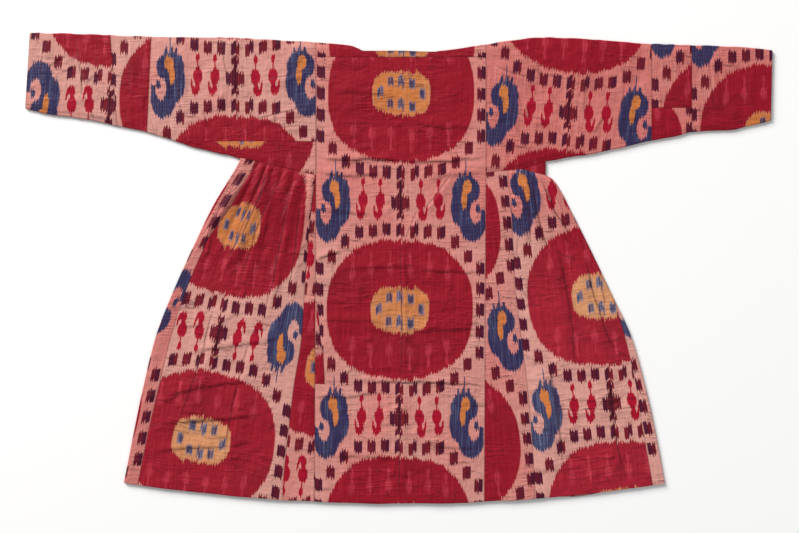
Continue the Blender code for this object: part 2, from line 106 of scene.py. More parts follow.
# The body's side: its folded edge, how far the front comes round it (below 0, the seam is that
# far underneath), and the seam between the narrow gore and the wide one
EDGE, WRAP, GORE_SEAM = 1, 2, 3     # the columns after y
LEFT_SIDE = (
    (0.2570, -0.3745, 0.0360, -0.1990),
    (0.2210, -0.3950, 0.0410, -0.1992),
    (0.1500, -0.4380, 0.0430, -0.2070),
    (0.0600, -0.4820, 0.0260, -0.2155),
    (-0.0600, -0.5360, 0.0290, -0.2235),
    (-0.1600, -0.5745, 0.0360, -0.2300),
    (-0.2800, -0.6045, 0.0370, -0.2490),
    (-0.3900, -0.6275, 0.0340, -0.2620),
    (-0.5100, -0.6510, 0.0330, -0.2750),
)
RIGHT_SIDE = (
    (0.2215, 0.3440, -0.0600, 0.2580),
    (0.2120, 0.3625, -0.0580, 0.2588),
    (0.1900, 0.3790, -0.0550, 0.2612),
    (0.1500, 0.4000, -0.0500, 0.2652),
    (0.0600, 0.4455, -0.0350, 0.2702),
    (-0.0600, 0.5030, -0.0120, 0.2764),
    (-0.0840, 0.5145, -0.0030, 0.2795),
    (-0.0940, 0.5190, 0.0030, 0.2808),
    (-0.1600, 0.5487, 0.0145, 0.2892),
    (-0.2800, 0.5825, 0.0210, 0.3044),
    (-0.3900, 0.6070, 0.0285, 0.3140),
    (-0.5150, 0.6300, 0.0290, 0.3220),
)
SIDE = {-1: LEFT_SIDE, 1: RIGHT_SIDE}

# The piecing strip let into the back panel's left edge: its inner edge from top to bottom, y, x
STRIP = (
    (-0.0800, -0.1945), (-0.1100, -0.1900), (-0.1600, -0.1865), (-0.2050, -0.1790), (-0.2740, -0.1755),
)

# Where each piece was cut from the ikat: a medallion's centre, how many degrees the warp leans to
# the right of the robe's length, and whether the piece was cut with the design upside down
IKAT = {piece: (x, y, lean, upside_down) for piece, x, y, lean, upside_down in (
    ("back_centre_panel", 0.002, -0.097, 0.4, False),
    ("back_piecing_strip", -0.090, -0.350, 0.0, False),
    ("neck_strip", 0.007, 0.547, 0.0, False),
    ("back_gore_left_narrow", -0.151, -0.240, 6.5, True),
    ("back_gore_left_wide", -0.467, -0.408, 8.0, True),
    ("back_gore_right_narrow", 0.067, 0.090, -5.3, False),
    ("back_gore_right_wide", 0.476, -0.063, -5.8, False),
    ("front_panel_left", -0.003, 0.080, 0.0, False),
    ("front_panel_right", 0.003, 0.080, 0.0, False),
    ("sleeve_left_upper", -0.387, 0.197, 0.0, False),
    ("sleeve_left_band", -0.488, 0.400, 0.0, False),
    ("sleeve_left_cuff", -0.6624, 0.6365, 5.0, True),
    ("gusset_left", -0.373, 0.338, 0.0, True),
    ("gusset_right", 0.250, 0.330, 0.0, False),
    ("sleeve_right_upper", 0.379, 0.117, 5.0, False),
    ("sleeve_right_middle", 0.795, 0.339, 0.0, False),
    ("sleeve_right_middle_patch", 0.499, 0.280, 0.0, False),
    ("sleeve_right_cuff", 0.886, 0.318, 0.0, False),
)}
# The fronts' sides follow the folded edge: how far under it the design's middle is, a medallion's
# height, and 1 or -1 for which way up the design is
SIDE_IKAT = {-1: (-0.1665, 0.1595, -1), 1: (-0.1725, -0.3260, 1)}

# Creases laid on the back. Columns: x and y of one end, x and y of the other, how wide the
# slope is on the left and on the right of that direction, height, and how far the crease bows as a
# share of its length
CREASES = (
    # down the centre back
    (0.009, 0.080, 0.012, -0.290, 0.011, 0.005, 0.0026, 0.004),
    (0.012, -0.260, 0.006, -0.560, 0.012, 0.005, 0.0024, -0.004),
    (0.135, 0.240, 0.050, 0.125, 0.014, 0.005, 0.0024, 0.05),
    (0.060, 0.150, 0.010, 0.030, 0.012, 0.006, 0.0016, -0.04),
    # across the waist
    (-0.196, 0.262, 0.020, 0.256, 0.010, 0.004, 0.0024, 0.01),
    (0.000, 0.257, 0.205, 0.266, 0.009, 0.004, 0.0020, -0.02),
    (-0.196, 0.232, -0.040, 0.226, 0.012, 0.005, 0.0018, -0.03),
    (0.060, 0.214, 0.205, 0.230, 0.012, 0.006, 0.0014, 0.03),
    (-0.196, 0.022, -0.135, 0.043, 0.009, 0.004, 0.0020, 0.05),
    (-0.150, 0.000, 0.060, 0.006, 0.014, 0.005, 0.0013, 0.02),
    (0.040, 0.004, 0.205, -0.004, 0.012, 0.005, 0.0016, -0.02),
    (-0.100, -0.266, 0.202, -0.272, 0.012, 0.004, 0.0022, 0.01),
    (-0.198, -0.300, -0.040, -0.288, 0.012, 0.005, 0.0013, -0.03),
    (-0.170, 0.420, 0.010, 0.408, 0.016, 0.006, 0.0013, 0.03),
    (0.020, 0.352, 0.200, 0.338, 0.015, 0.006, 0.0014, -0.03),
    (-0.190, 0.136, -0.060, 0.128, 0.013, 0.005, 0.0013, 0.04),
    (-0.190, -0.118, -0.020, -0.126, 0.014, 0.006, 0.0012, 0.02),
    (0.030, -0.148, 0.200, -0.140, 0.014, 0.006, 0.0013, 0.03),
    (-0.180, -0.440, 0.020, -0.448, 0.014, 0.006, 0.0012, 0.02),
    (0.060, -0.414, 0.200, -0.420, 0.013, 0.006, 0.0013, -0.02),
    # the left gores: long soft folds that fall from the gathers
    (-0.300, 0.225, -0.430, -0.020, 0.015, 0.007, 0.0050, 0.04),
    (-0.272, 0.215, -0.372, -0.060, 0.014, 0.008, 0.0036, -0.03),
    (-0.250, 0.200, -0.318, -0.140, 0.013, 0.008, 0.0030, 0.02),
    (-0.226, 0.190, -0.262, -0.100, 0.010, 0.007, 0.0024, 0.02),
    (-0.335, 0.230, -0.470, 0.050, 0.013, 0.006, 0.0046, -0.05),
    (-0.362, 0.245, -0.448, 0.095, 0.012, 0.005, 0.0040, 0.03),
    (-0.309, 0.230, -0.334, 0.150, 0.010, 0.004, 0.0040, 0.03),
    (-0.336, 0.156, -0.379, 0.054, 0.010, 0.004, 0.0034, -0.03),
    (-0.244, 0.212, -0.284, 0.100, 0.010, 0.004, 0.0030, 0.03),
    (-0.280, 0.040, -0.308, -0.030, 0.010, 0.004, 0.0028, 0.02),
    (-0.420, -0.080, -0.520, -0.400, 0.030, 0.016, 0.0026, 0.03),
    (-0.330, -0.150, -0.400, -0.480, 0.028, 0.014, 0.0022, -0.03),
    (-0.560, -0.300, -0.330, -0.262, 0.012, 0.004, 0.0020, 0.03),
    (-0.585, -0.362, -0.300, -0.338, 0.012, 0.004, 0.0018, -0.02),
    (-0.500, -0.196, -0.300, -0.172, 0.012, 0.005, 0.0016, 0.02),
    (-0.590, -0.430, -0.400, -0.418, 0.012, 0.005, 0.0016, 0.02),
    # the right gores
    (0.300, 0.225, 0.350, 0.020, 0.012, 0.014, 0.0036, -0.04),
    (0.325, 0.215, 0.405, 0.060, 0.010, 0.013, 0.0034, -0.05),
    (0.276, 0.215, 0.300, 0.040, 0.010, 0.012, 0.0024, 0.03),
    (0.352, 0.060, 0.400, -0.260, 0.016, 0.024, 0.0034, 0.03),
    (0.420, 0.040, 0.500, -0.220, 0.016, 0.024, 0.0026, -0.03),
    (0.330, -0.200, 0.372, -0.500, 0.016, 0.026, 0.0022, 0.02),
    (0.470, -0.240, 0.520, -0.520, 0.018, 0.030, 0.0024, -0.02),
    (0.300, -0.262, 0.560, -0.236, 0.005, 0.012, 0.0018, 0.03),
    (0.330, -0.338, 0.590, -0.330, 0.005, 0.012, 0.0020, -0.02),
    (0.320, -0.404, 0.470, -0.396, 0.005, 0.012, 0.0016, 0.02),
    (0.400, -0.170, 0.540, -0.150, 0.005, 0.012, 0.0014, 0.02),
    # the sleeves
    (-0.200, 0.470, -0.330, 0.440, 0.016, 0.006, 0.0018, 0.05),
    (-0.200, 0.385, -0.360, 0.350, 0.018, 0.007, 0.0020, 0.05),
    (-0.205, 0.330, -0.300, 0.322, 0.010, 0.005, 0.0015, -0.04),
    (-0.420, 0.545, -0.400, 0.380, 0.012, 0.005, 0.0017, 0.05),
    (-0.520, 0.530, -0.505, 0.350, 0.014, 0.006, 0.0018, -0.04),
    (-0.640, 0.535, -0.636, 0.400, 0.012, 0.005, 0.0014, 0.03),
    (-0.760, 0.548, -0.745, 0.380, 0.014, 0.006, 0.0018, 0.04),
    (-0.830, 0.540, -0.838, 0.420, 0.012, 0.006, 0.0015, -0.04),
    (0.215, 0.480, 0.350, 0.440, 0.006, 0.016, 0.0018, -0.05),
    (0.215, 0.390, 0.370, 0.340, 0.006, 0.018, 0.0022, -0.05),
    (0.215, 0.300, 0.340, 0.285, 0.005, 0.012, 0.0017, 0.04),
    (0.440, 0.530, 0.420, 0.350, 0.012, 0.005, 0.0016, 0.05),
    (0.540, 0.530, 0.520, 0.330, 0.014, 0.006, 0.0018, 0.04),
    (0.740, 0.515, 0.760, 0.360, 0.013, 0.006, 0.0017, -0.04),
    (0.830, 0.505, 0.826, 0.380, 0.012, 0.006, 0.0014, 0.04),
)

# Fine creases scattered over an area. Columns: its sides x, x, y and y, how many, their direction
# in degrees and how much it varies, their length and their height
SCATTER = (
    (-0.195, 0.200, -0.540, 0.500, 70, 0, 14, 0.075, 0.00075),
    (-0.600, -0.215, -0.500, -0.080, 60, 4, 16, 0.080, 0.00090),
    (-0.480, -0.215, -0.080, 0.200, 34, 58, 22, 0.070, 0.00100),
    (0.270, 0.600, -0.500, -0.080, 54, -2, 16, 0.080, 0.00090),
    (0.260, 0.480, -0.080, 0.200, 26, -60, 22, 0.070, 0.00095),
    (-0.870, -0.210, 0.330, 0.530, 46, 80, 30, 0.060, 0.00080),
    (0.215, 0.870, 0.310, 0.510, 46, 98, 30, 0.060, 0.00080),
    (-0.195, 0.200, -0.540, 0.200, 26, 88, 12, 0.090, 0.00060),
)

# Gathers under the arms, for each side: ridges across the wide gore, height, and how far down
# they fade; then how much cloth the deepest fold hides, how strongly the warp bends in there, and
# how it curves over the gore's whole length
GATHERS = {-1: (8, 0.0046, 0.130, 0.060, 2.4, 0.076), 1: (5, 0.0042, 0.110, 0.0, 0.0, 0.0)}
BEND_START = 0.100          # height above which it bends
FOLD_REACH = 0.250          # how far below the seam the deepest fold fades

# Soft swells all over the cloth. Columns: height, length across and along, seed
SWELLS = ((0.0014, 0.11, 0.13, 3), (0.0009, 0.040, 0.026, 4), (0.0004, 0.014, 0.009, 6))
CREASE_GAIN = 1.5           # how much fuller a crease is than its height in the table
CREASE_POWER = 1.6          # how steeply its sides fall
CREASE_END = 0.25           # share of its length over which it fades
CREASE_FOOT = 1.1           # where its line of painted shade runs, in widths of its steep side
DARK_CREASE = 0.0020        # height from which that line is full
DARK_WIDTH = 0.0018
WANDER = 0.0022             # how far it strays from its bow, and over what length
WANDER_LENGTH = 0.030
SEAM_DIP = 0.45             # share of the lift that a seam holds down, and how far from it
SEAM_DIP_REACH = 0.006
PUCKER = 0.00042            # height of the puckers at a seam, their spacing and their reach
PUCKER_SPACING = 0.0125
PUCKER_REACH = 0.007
FOLD_REST = 0.014           # how far from a folded edge the cloth is again as creased as elsewhere
LOWEST_LIFT = 0.0012        # of the cloth of the back over the frame's
HIGHEST_LIFT = 0.0110       # of the creases and gathers over the cloth laid flat
HEM_WAVE = 0.0011           # how unevenly the hem lies
EDGE_WAVE = 0.0010          # and the sleeves' edges
WORN_FROM = 0.150           # the cloth is more faded from this height down to the next one
WORN_TO = -0.100
FRONT_PEEK = 0.0045         # how far the right front shows under the back's hem,
PEEK_X = 0.428              # where, and how far to each side
PEEK_WIDTH = 0.040
GORE_MIDDLE = 0.3           # about how far the gores are from the middle of the back
SETTLING_STEPS = 10
GORE_ON_TOP = {-1: 1.0, 1: 0.90}    # share of the wide gore that is on the back
GORE_UNDER_END = -0.062     # how far round the edge the rest of the right one reaches
SIDE_ON_TOP = 0.35          # share of a front side that is on the back, and where its bend ends
SIDE_BEND_END = 0.60
YOKE_ON_TOP = 0.55          # the same shares of the neck strip and of the right gusset
YOKE_BEND_END = 0.85
GUSSET_ON_TOP = 0.40
GUSSET_BEND_END = 0.60
# Shares of the way round a sleeve: where its back starts and ends, where its front starts and ends
WHOLE_SLEEVE = (0.06, 0.62, 0.72, 0.94)
OVER_TOP_FOLD = (0.0, 0.66, 0.78, 1.0)
ROUND_LOW_FOLD = (0.0, 0.50, 0.62, 1.0)


def mix(a, b, t):
    return a + (b - a) * t


def smooth(t):
    t = np.clip(t, 0.0, 1.0)
    return t * t * (3 - 2 * t)


def nearest(*distances):
    return np.minimum.reduce(distances)


def read(table, key, column=1):
    """A column of a table at values of its first column, on a smooth curve through its rows."""
    rows = np.array(sorted(table), float)
    keys, values = rows[:, 0], rows[:, column]
    key = np.clip(key, keys[0], keys[-1])
    i = np.clip(np.searchsorted(keys, key, side="right") - 1, 0, len(keys) - 2)
    steps = np.diff(values) / np.diff(keys)
    before, after = steps[:-1], steps[1:]
    same_way = before * after > 0
    bend = np.where(same_way, 2 * before * after / np.where(same_way, before + after, 1), 0)
    slopes = np.concatenate(([steps[0]], bend, [steps[-1]]))
    span = keys[i + 1] - keys[i]
    t = (key - keys[i]) / span
    a, b = slopes[i] * span, slopes[i + 1] * span
    change = values[i + 1] - values[i]
    return values[i] + t * (a + t * (3 * change - 2 * a - b + t * (a + b - 2 * change)))


def straight(table, key):
    rows = np.array(sorted(table), float)
    return np.interp(key, rows[:, 0], rows[:, 1])


def hem(x):
    return HEM_Y + HEM_RISE * (x / HEM_HALF_WIDTH) ** 2 + HEM_WAVE * noise(x / 0.055, 0 * x, 31)


def sleeve_top(x):
    return read(SLEEVE_TOP, x) + EDGE_WAVE * noise(x / 0.017, 0 * x, 32) * (np.abs(x) > ARMHOLE[1])


def sleeve_low(x):
    between = (x >= LEFT_UNDERARM) & (x <= RIGHT_UNDERARM)
    uneven = read(SLEEVE_LOW, x) + EDGE_WAVE * noise(x / 0.021, 0 * x, 33)
    return np.where(between, straight(UNDERARM, x), uneven)


def gore_top(x):
    tip = (RIGHT_GUSSET_TIP, float(straight(UNDERARM, RIGHT_GUSSET_TIP)))
    return np.where(x > RIGHT_GUSSET_TIP, straight((tip, RIGHT_GORE_CORNER), x),
                    sleeve_low(np.clip(x, LEFT_UNDERARM, RIGHT_GUSSET_TIP)))


def back_edge(side, y):
    top = float(sleeve_low(np.array(ARMHOLE[side])))
    return mix(HEM_CORNER[side], ARMHOLE[side], np.clip((y - HEM_Y) / (top - HEM_Y), 0, 1))


def noise(x, y, seed):
    """Smooth noise from -1 to 1 with hills about 1 apart."""
    lattice = np.random.default_rng(seed).uniform(-1, 1, (61, 61))
    left, low = np.floor(x).astype(int), np.floor(y).astype(int)
    a, b = smooth(x - left), smooth(y - low)

    def corner(i, j):
        return lattice[(left + i) % 61, (low + j) % 61]

    return mix(mix(corner(0, 0), corner(1, 0), a), mix(corner(0, 1), corner(1, 1), a), b)


def scattered_creases():
    """Short fine creases spread over each area of the scatter table, the same on each run."""
    dice = np.random.default_rng(11)
    rows = []
    for x0, x1, y0, y1, count, direction, spread, length, height in SCATTER:
        for _ in range(count):
            x, y = dice.uniform(x0, x1), dice.uniform(y0, y1)
            angle = math.radians(direction + dice.normal(0, spread))
            half = length * dice.uniform(0.35, 1.0) / 2
            dx, dy = half * math.cos(angle), half * math.sin(angle)
            sharp, soft = dice.uniform(0.0025, 0.0045), dice.uniform(0.006, 0.012)
            sides = (sharp, soft) if dice.random() < 0.5 else (soft, sharp)
            rise = height * dice.uniform(0.5, 1.3) * (1 if dice.random() < 0.7 else -1)
            rows.append((x - dx, y - dy, x + dx, y + dy, *sides, rise, dice.uniform(-0.09, 0.09)))
    return tuple(rows)


ALL_CREASES = CREASES + scattered_creases()


def near_creases(x, y):
    """For each crease: the points near it, how far aside they are, its fade at the ends, its form."""
    for x0, y0, x1, y1, left, right, height, bow in ALL_CREASES:
        dx, dy = x1 - x0, y1 - y0
        length = math.hypot(dx, dy)
        margin = 4 * max(left, right) + abs(bow) * length
        near = np.nonzero((x > min(x0, x1) - margin) & (x < max(x0, x1) + margin)
                          & (y > min(y0, y1) - margin) & (y < max(y0, y1) + margin))[0]
        px, py = x[near] - x0, y[near] - y0
        along = (px * dx + py * dy) / length ** 2
        aside = (py * dx - px * dy) / length - bow * length * 4 * along * (1 - along)
        wander = WANDER * noise(along * length / WANDER_LENGTH, np.full_like(along, 50 * x0), 9)
        fade = smooth(along / CREASE_END) * smooth((1 - along) / CREASE_END)
        yield near, aside + wander, fade, left, right, height


def relief(x, y):
    """How far the creases and soft swells lift the cloth of the back."""
    lift = sum(height * noise(x / across, y / along, seed) for height, across, along, seed in SWELLS)
    for near, aside, fade, left, right, height in near_creases(x, y):
        slope = np.where(aside > 0, left, right)
        lift[near] += CREASE_GAIN * height * fade * np.exp(-np.abs(aside / slope) ** CREASE_POWER)
    return settled(lift + LOWEST_LIFT)


def settled(lift):
    """The cloth's lift, kept under the highest that laid cloth stands."""
    return HIGHEST_LIFT * np.tanh(lift / HIGHEST_LIFT)


def painted_crease_shade(x, y):
    """Where shade is painted along the creases, and how strongly: 1 along the foot of a crease's steep
    side.
    """
    line = np.zeros_like(x)
    for near, aside, fade, left, right, height in near_creases(x, y):
        foot = -CREASE_FOOT * right if left > right else CREASE_FOOT * left
        dark = min(1.0, abs(height) / DARK_CREASE) * fade
        line[near] = np.maximum(line[near], dark * np.exp(-((aside - foot) / DARK_WIDTH) ** 2))
    return line


def sewn(lift, x, y, edge):
    """The cloth drawn down at a seam, with small puckers beside it."""
    pucker = np.sin((x + y) * 2 * math.pi / PUCKER_SPACING + 2.5 * noise(x / 0.03, y / 0.03, 8))
    held_down = 1 - SEAM_DIP * np.exp(-edge / SEAM_DIP_REACH)
    return lift * held_down + PUCKER * pucker * np.exp(-edge / PUCKER_REACH)


def on_back(name, x, y, edge):
    """Points of a piece laid on the back, as a laying function returns them."""
    return x, y, UPPER + sewn(relief(x, y), x, y, edge), *on_ikat(name, x, y), edge


def on_ikat(name, x, y):
    """Where points of a piece are on the woven ikat: across from its middle, and along it."""
    x0, y0, lean, upside_down = IKAT[name]
    turn = math.radians(lean)
    across = (x - x0) * math.cos(turn) - (y - y0) * math.sin(turn)
    along = (x - x0) * math.sin(turn) + (y - y0) * math.cos(turn)
    return (-across, -along) if upside_down else (across, along)


def cloth_sheet(name, columns, rows, lay, material, flat, area):
    """A sheet of cloth: a grid laid on the robe's form and given its wall."""
    bpy.ops.mesh.primitive_grid_add(x_subdivisions=columns, y_subdivisions=rows, size=2)
    piece = bpy.context.object
    piece.name = piece.data.name = name + "_cloth"
    mesh = piece.data
    start = np.empty(len(mesh.vertices) * 3)
    mesh.vertices.foreach_get("co", start)
    start = start.reshape(-1, 3)
    x, y, z, across, along, edge = lay((start[:, 0] + 1) / 2, (start[:, 1] + 1) / 2)
    mesh.vertices.foreach_set("co", np.stack((x, y, z), axis=1).ravel())
    corners = np.empty(len(mesh.loops), dtype=np.int32)
    mesh.loops.foreach_get("vertex_index", corners)
    on_cloth = np.stack((across[corners], along[corners]), axis=1)
    mesh.uv_layers[0].name = "cut"
    mesh.uv_layers["cut"].uv.foreach_set("vector", on_cloth.ravel())
    # painted shade along the creases, on the upper layer only; the material darkens the colour there
    lines = painted_crease_shade(x, y) * (z > UPPER - HOLLOW / 2)
    worn = smooth((WORN_FROM - y) / (WORN_FROM - WORN_TO))
    for label, values in (("from_edge", np.clip(edge, 0, 1)), ("creased", lines), ("worn", worn)):
        mesh.attributes.new(label, "FLOAT", "POINT").data.foreach_set("value", values)
    mesh.update()
    wall = piece.modifiers.new("wall", "SOLIDIFY")
    wall.thickness = CLOTH
    wall.offset = 0.0
    bpy.ops.object.modifier_apply(modifier="wall")
    bpy.ops.object.shade_smooth_by_angle(angle=math.radians(50))
    piece.data.materials.append(material)
    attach(piece, "root")
    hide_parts(name)
    bpy.ops.object.select_all(action="DESELECT")
    return piece


# Laying: each returns x, y, z, the place on the ikat, and the distance from the nearest edge

def solve(place, v, side):
    """x, y and what else place gives, for points at shares v of the way from the hem to the top seam.

    The hem and the seam depend on x, and place gives x from y, so the two are found by turns.
    """
    x = np.full_like(v, GORE_MIDDLE * side)
    for _ in range(SETTLING_STEPS):
        y = mix(hem(x), gore_top(x) - HALF_GAP, v)
        x, *others = place(y)
    return x, y, *others


def seams_of(side):
    """Where the back's, the narrow gore's and the front's side seams are at each y."""
    def back(y):
        return back_edge(side, y) + side * HALF_GAP

    def gore(y):
        return side * np.maximum(side * read(SIDE[side], y, GORE_SEAM), side * back(y) + 0.0005)

    def front(y):
        share = np.clip((y - HEM_Y) / (float(gore_top(np.array(ARMHOLE[1]))) - HEM_Y), 0, 1)
        return ARMHOLE[side] + side * (HALF_GAP + FRONT_HEM_SPREAD * (1 - share))

    return back, gore, front


def around_seam(side, y):
    """How far round the body's folded edge the seam between the front and the wide gore lies."""
    seam = read(SIDE[side], y, WRAP)
    return seam + np.sign(seam) * (FOLD_QUARTER - FOLD) * (np.abs(seam) > FOLD_QUARTER)


def around_fold(side, edge_x, around):
    """Where points so far round the body's folded edge are: x and z."""
    turn = np.clip(around / FOLD, -math.pi / 2, math.pi / 2)
    inward = FOLD - FOLD * np.cos(turn) + np.maximum(0, np.abs(around) - FOLD_QUARTER)
    return edge_x - side * inward, FOLD_MIDDLE + FOLD * np.sin(turn)


def lay_narrow_gore(side, name):
    back, gore, _ = seams_of(side)

    def lay(u, v):
        x, y = solve(lambda y: (mix(back(y), gore(y) - side * HALF_GAP, u),), v, side)
        width = np.abs(gore(y) - back(y))
        return on_back(name, x, y, nearest(u * width, (1 - u) * width, gore_top(x) - y, y - hem(x)))

    return lay


def lay_wide_gore(side, name):
    _, gore, _ = seams_of(side)
    ridges, height, fade, hidden, bend, sweep = GATHERS[side]
    on_top = GORE_ON_TOP[side]

    def lay(u, v):
        def place(y):
            edge_x, end = read(SIDE[side], y, EDGE), around_seam(side, y) + HALF_GAP
            full = side * (edge_x - gore(y)) - FOLD + FOLD_QUARTER
            beyond = mix(FOLD_QUARTER, GORE_UNDER_END, (u - on_top) / (1.001 - on_top))
            around = np.where(u < on_top, mix(full, np.maximum(end, FOLD_QUARTER), u / on_top),
                              np.maximum(end, beyond))
            return *around_fold(side, edge_x, around), around, full

        x, y, z, around, full = solve(place, v, side)
        depth = gore_top(x) - y
        across = np.clip((full - around) / full, 0, 1)
        swing = across + 0.02 * np.sin(9 * across + 1.0) + 0.015 * noise(across * 6, depth * 9, 21)
        ripple = np.abs(np.sin(math.pi * ridges * swing)) ** 1.3
        each = 0.75 + 0.45 * noise(across * ridges, depth * 3, 22)
        reach = fade * (1.15 + 0.6 * noise(across * ridges, 0 * depth, 23))
        gather = height * ripple * each * np.exp(-(depth / reach) ** 2) * smooth(depth / 0.010)
        seam = np.abs(around - read(SIDE[side], y, WRAP))
        edge = nearest(full - around, seam, depth, y - hem(x))
        held = smooth((around - FOLD_QUARTER) / FOLD_REST)
        lift = settled(sewn(relief(x, y), x, y, edge) + gather) * held
        spread = x if side < 0 else read(SIDE[side], y, EDGE) - around
        bent = bend * np.maximum(0, y - BEND_START) ** 2 + sweep * np.maximum(0, y - IKAT[name][1]) ** 2
        u_cloth, v_cloth = on_ikat(name, spread - bent, y)
        tucked = 0.5 * hidden * np.exp(-(depth / FOLD_REACH) ** 2) * np.tanh(u_cloth / 0.020)
        return x, y, z + lift, u_cloth + tucked, v_cloth, edge

    return lay


def lay_front_side(side):
    _, _, front = seams_of(side)
    middle, medallion, way_up = SIDE_IKAT[side]

    def lay(u, v):
        def place(y):
            edge_x, start = read(SIDE[side], y, EDGE), around_seam(side, y) - HALF_GAP
            end = -(np.abs(edge_x - front(y)) - FOLD + FOLD_QUARTER)
            on_top = mix(np.maximum(start, FOLD_QUARTER), FOLD_QUARTER, u / SIDE_ON_TOP)
            bend = mix(FOLD_QUARTER, -FOLD_QUARTER, (u - SIDE_ON_TOP) / (SIDE_BEND_END - SIDE_ON_TOP))
            below = mix(np.minimum(-FOLD_QUARTER, start), end, (u - SIDE_BEND_END) / (1 - SIDE_BEND_END))
            around = np.where(u < SIDE_ON_TOP, on_top, np.where(u < SIDE_BEND_END, bend, below))
            around = np.minimum(around, start)
            return *around_fold(side, edge_x, around), around, start, end

        x, y, z, around, start, end = solve(place, v, side)
        edge = nearest(start - around, around - end, gore_top(x) - y, y - hem(x))
        held = smooth((around - FOLD_QUARTER) / FOLD_REST)
        lift = sewn(relief(x, y), x, y, edge) * held
        peek = FRONT_PEEK * np.exp(-((x - PEEK_X) / PEEK_WIDTH) ** 2) * smooth(1 - v / 0.04)
        y = y - peek * (around < 0)
        return x, y, z + lift, around - middle, way_up * (y - medallion), edge

    return lay


def lay_back_panel(name, levels):
    top, bottom = STRIP[0][0], STRIP[-1][0]

    def lay(u, v):
        y = np.interp(v * (len(levels) - 1), np.arange(len(levels)), levels)
        left, right = back_edge(-1, y) + HALF_GAP, back_edge(1, y) - HALF_GAP
        left = np.where((y > bottom) & (y < top), read(STRIP, y) + HALF_GAP, left)
        x = mix(left, right, u)
        y = np.where(y < bottom, mix(hem(x), bottom, (y - HEM_Y) / (bottom - HEM_Y)), y)
        return on_back(name, x, y, nearest(x - left, right - x, YOKE_SEAM - y, y - hem(x)))

    return lay


def lay_strip(name):
    def lay(u, v):
        y = mix(STRIP[-1][0] + 2 * HALF_GAP, STRIP[0][0] - 2 * HALF_GAP, v)
        left, right = back_edge(-1, y) + HALF_GAP, read(STRIP, y) - HALF_GAP
        x = mix(left, right, u)
        return on_back(name, x, y, nearest(x - left, right - x, y - y.min(), y.max() - y))

    return lay


def lay_neck_strip(name):
    def lay(u, v):
        x = mix(ARMHOLE[-1], ARMHOLE[1], u)
        shoulder = sleeve_top(x) - FOLD
        behind_neck = smooth((NECK_HALF_WIDTH + 0.006 - np.abs(x)) / 0.012)
        bent = np.clip((v - YOKE_ON_TOP) / (YOKE_BEND_END - YOKE_ON_TOP), 0, 1) * (1 - behind_neck)
        turn = math.pi / 2 - math.pi * bent
        under = np.clip((v - YOKE_BEND_END) / (1 - YOKE_BEND_END), 0, 1) * (1 - behind_neck)
        flat = mix(YOKE_SEAM, shoulder, np.clip(v / YOKE_ON_TOP, 0, 1))
        y = flat + FOLD * np.cos(turn) - under * (SHOULDER_SEAM_DROP - FOLD)
        y = y + behind_neck * 0.0012 * np.clip((v - YOKE_ON_TOP) / (1 - YOKE_ON_TOP), 0, 1)
        z = FOLD_MIDDLE + FOLD * np.sin(turn)
        long_edge = np.where(v < 0.5, y - YOKE_SEAM, np.where(behind_neck > 0.5, shoulder - y, 1.0))
        edge = np.maximum(nearest(x - ARMHOLE[-1], ARMHOLE[1] - x, long_edge), 0)
        from_fold = np.maximum(smooth((shoulder - y) / 0.010), behind_neck)
        held = np.where(v < YOKE_ON_TOP, from_fold, behind_neck)
        lift = sewn(relief(x, y), x, y, edge) * held
        return x, y, z + lift, *on_ikat(name, x, mix(y, 2 * shoulder - y, under)), edge

    return lay


def lay_front_panel(side, name):
    def lay(u, v):
        x_top = mix(side * FRONT_GAP / 2, ARMHOLE[side] - side * HALF_GAP, u)
        inside_neck = np.clip(1 - np.abs(x_top) / NECK_HALF_WIDTH, 0, 1)
        top = sleeve_top(x_top) - SHOULDER_SEAM_DROP - HALF_GAP - FRONT_NECK_DEPTH * np.sqrt(inside_neck)
        y = mix(hem(x_top * 1.1), top, v)
        spread = np.clip((float(sleeve_low(np.array(ARMHOLE[side]))) - y) / 0.78, 0, 1)
        x = x_top + side * FRONT_HEM_SPREAD * spread * u
        edge = nearest(u * 0.2, (1 - u) * 0.2, v, 1 - v)
        return x, y, np.full_like(u, UNDER), *on_ikat(name, x, y), edge

    return lay


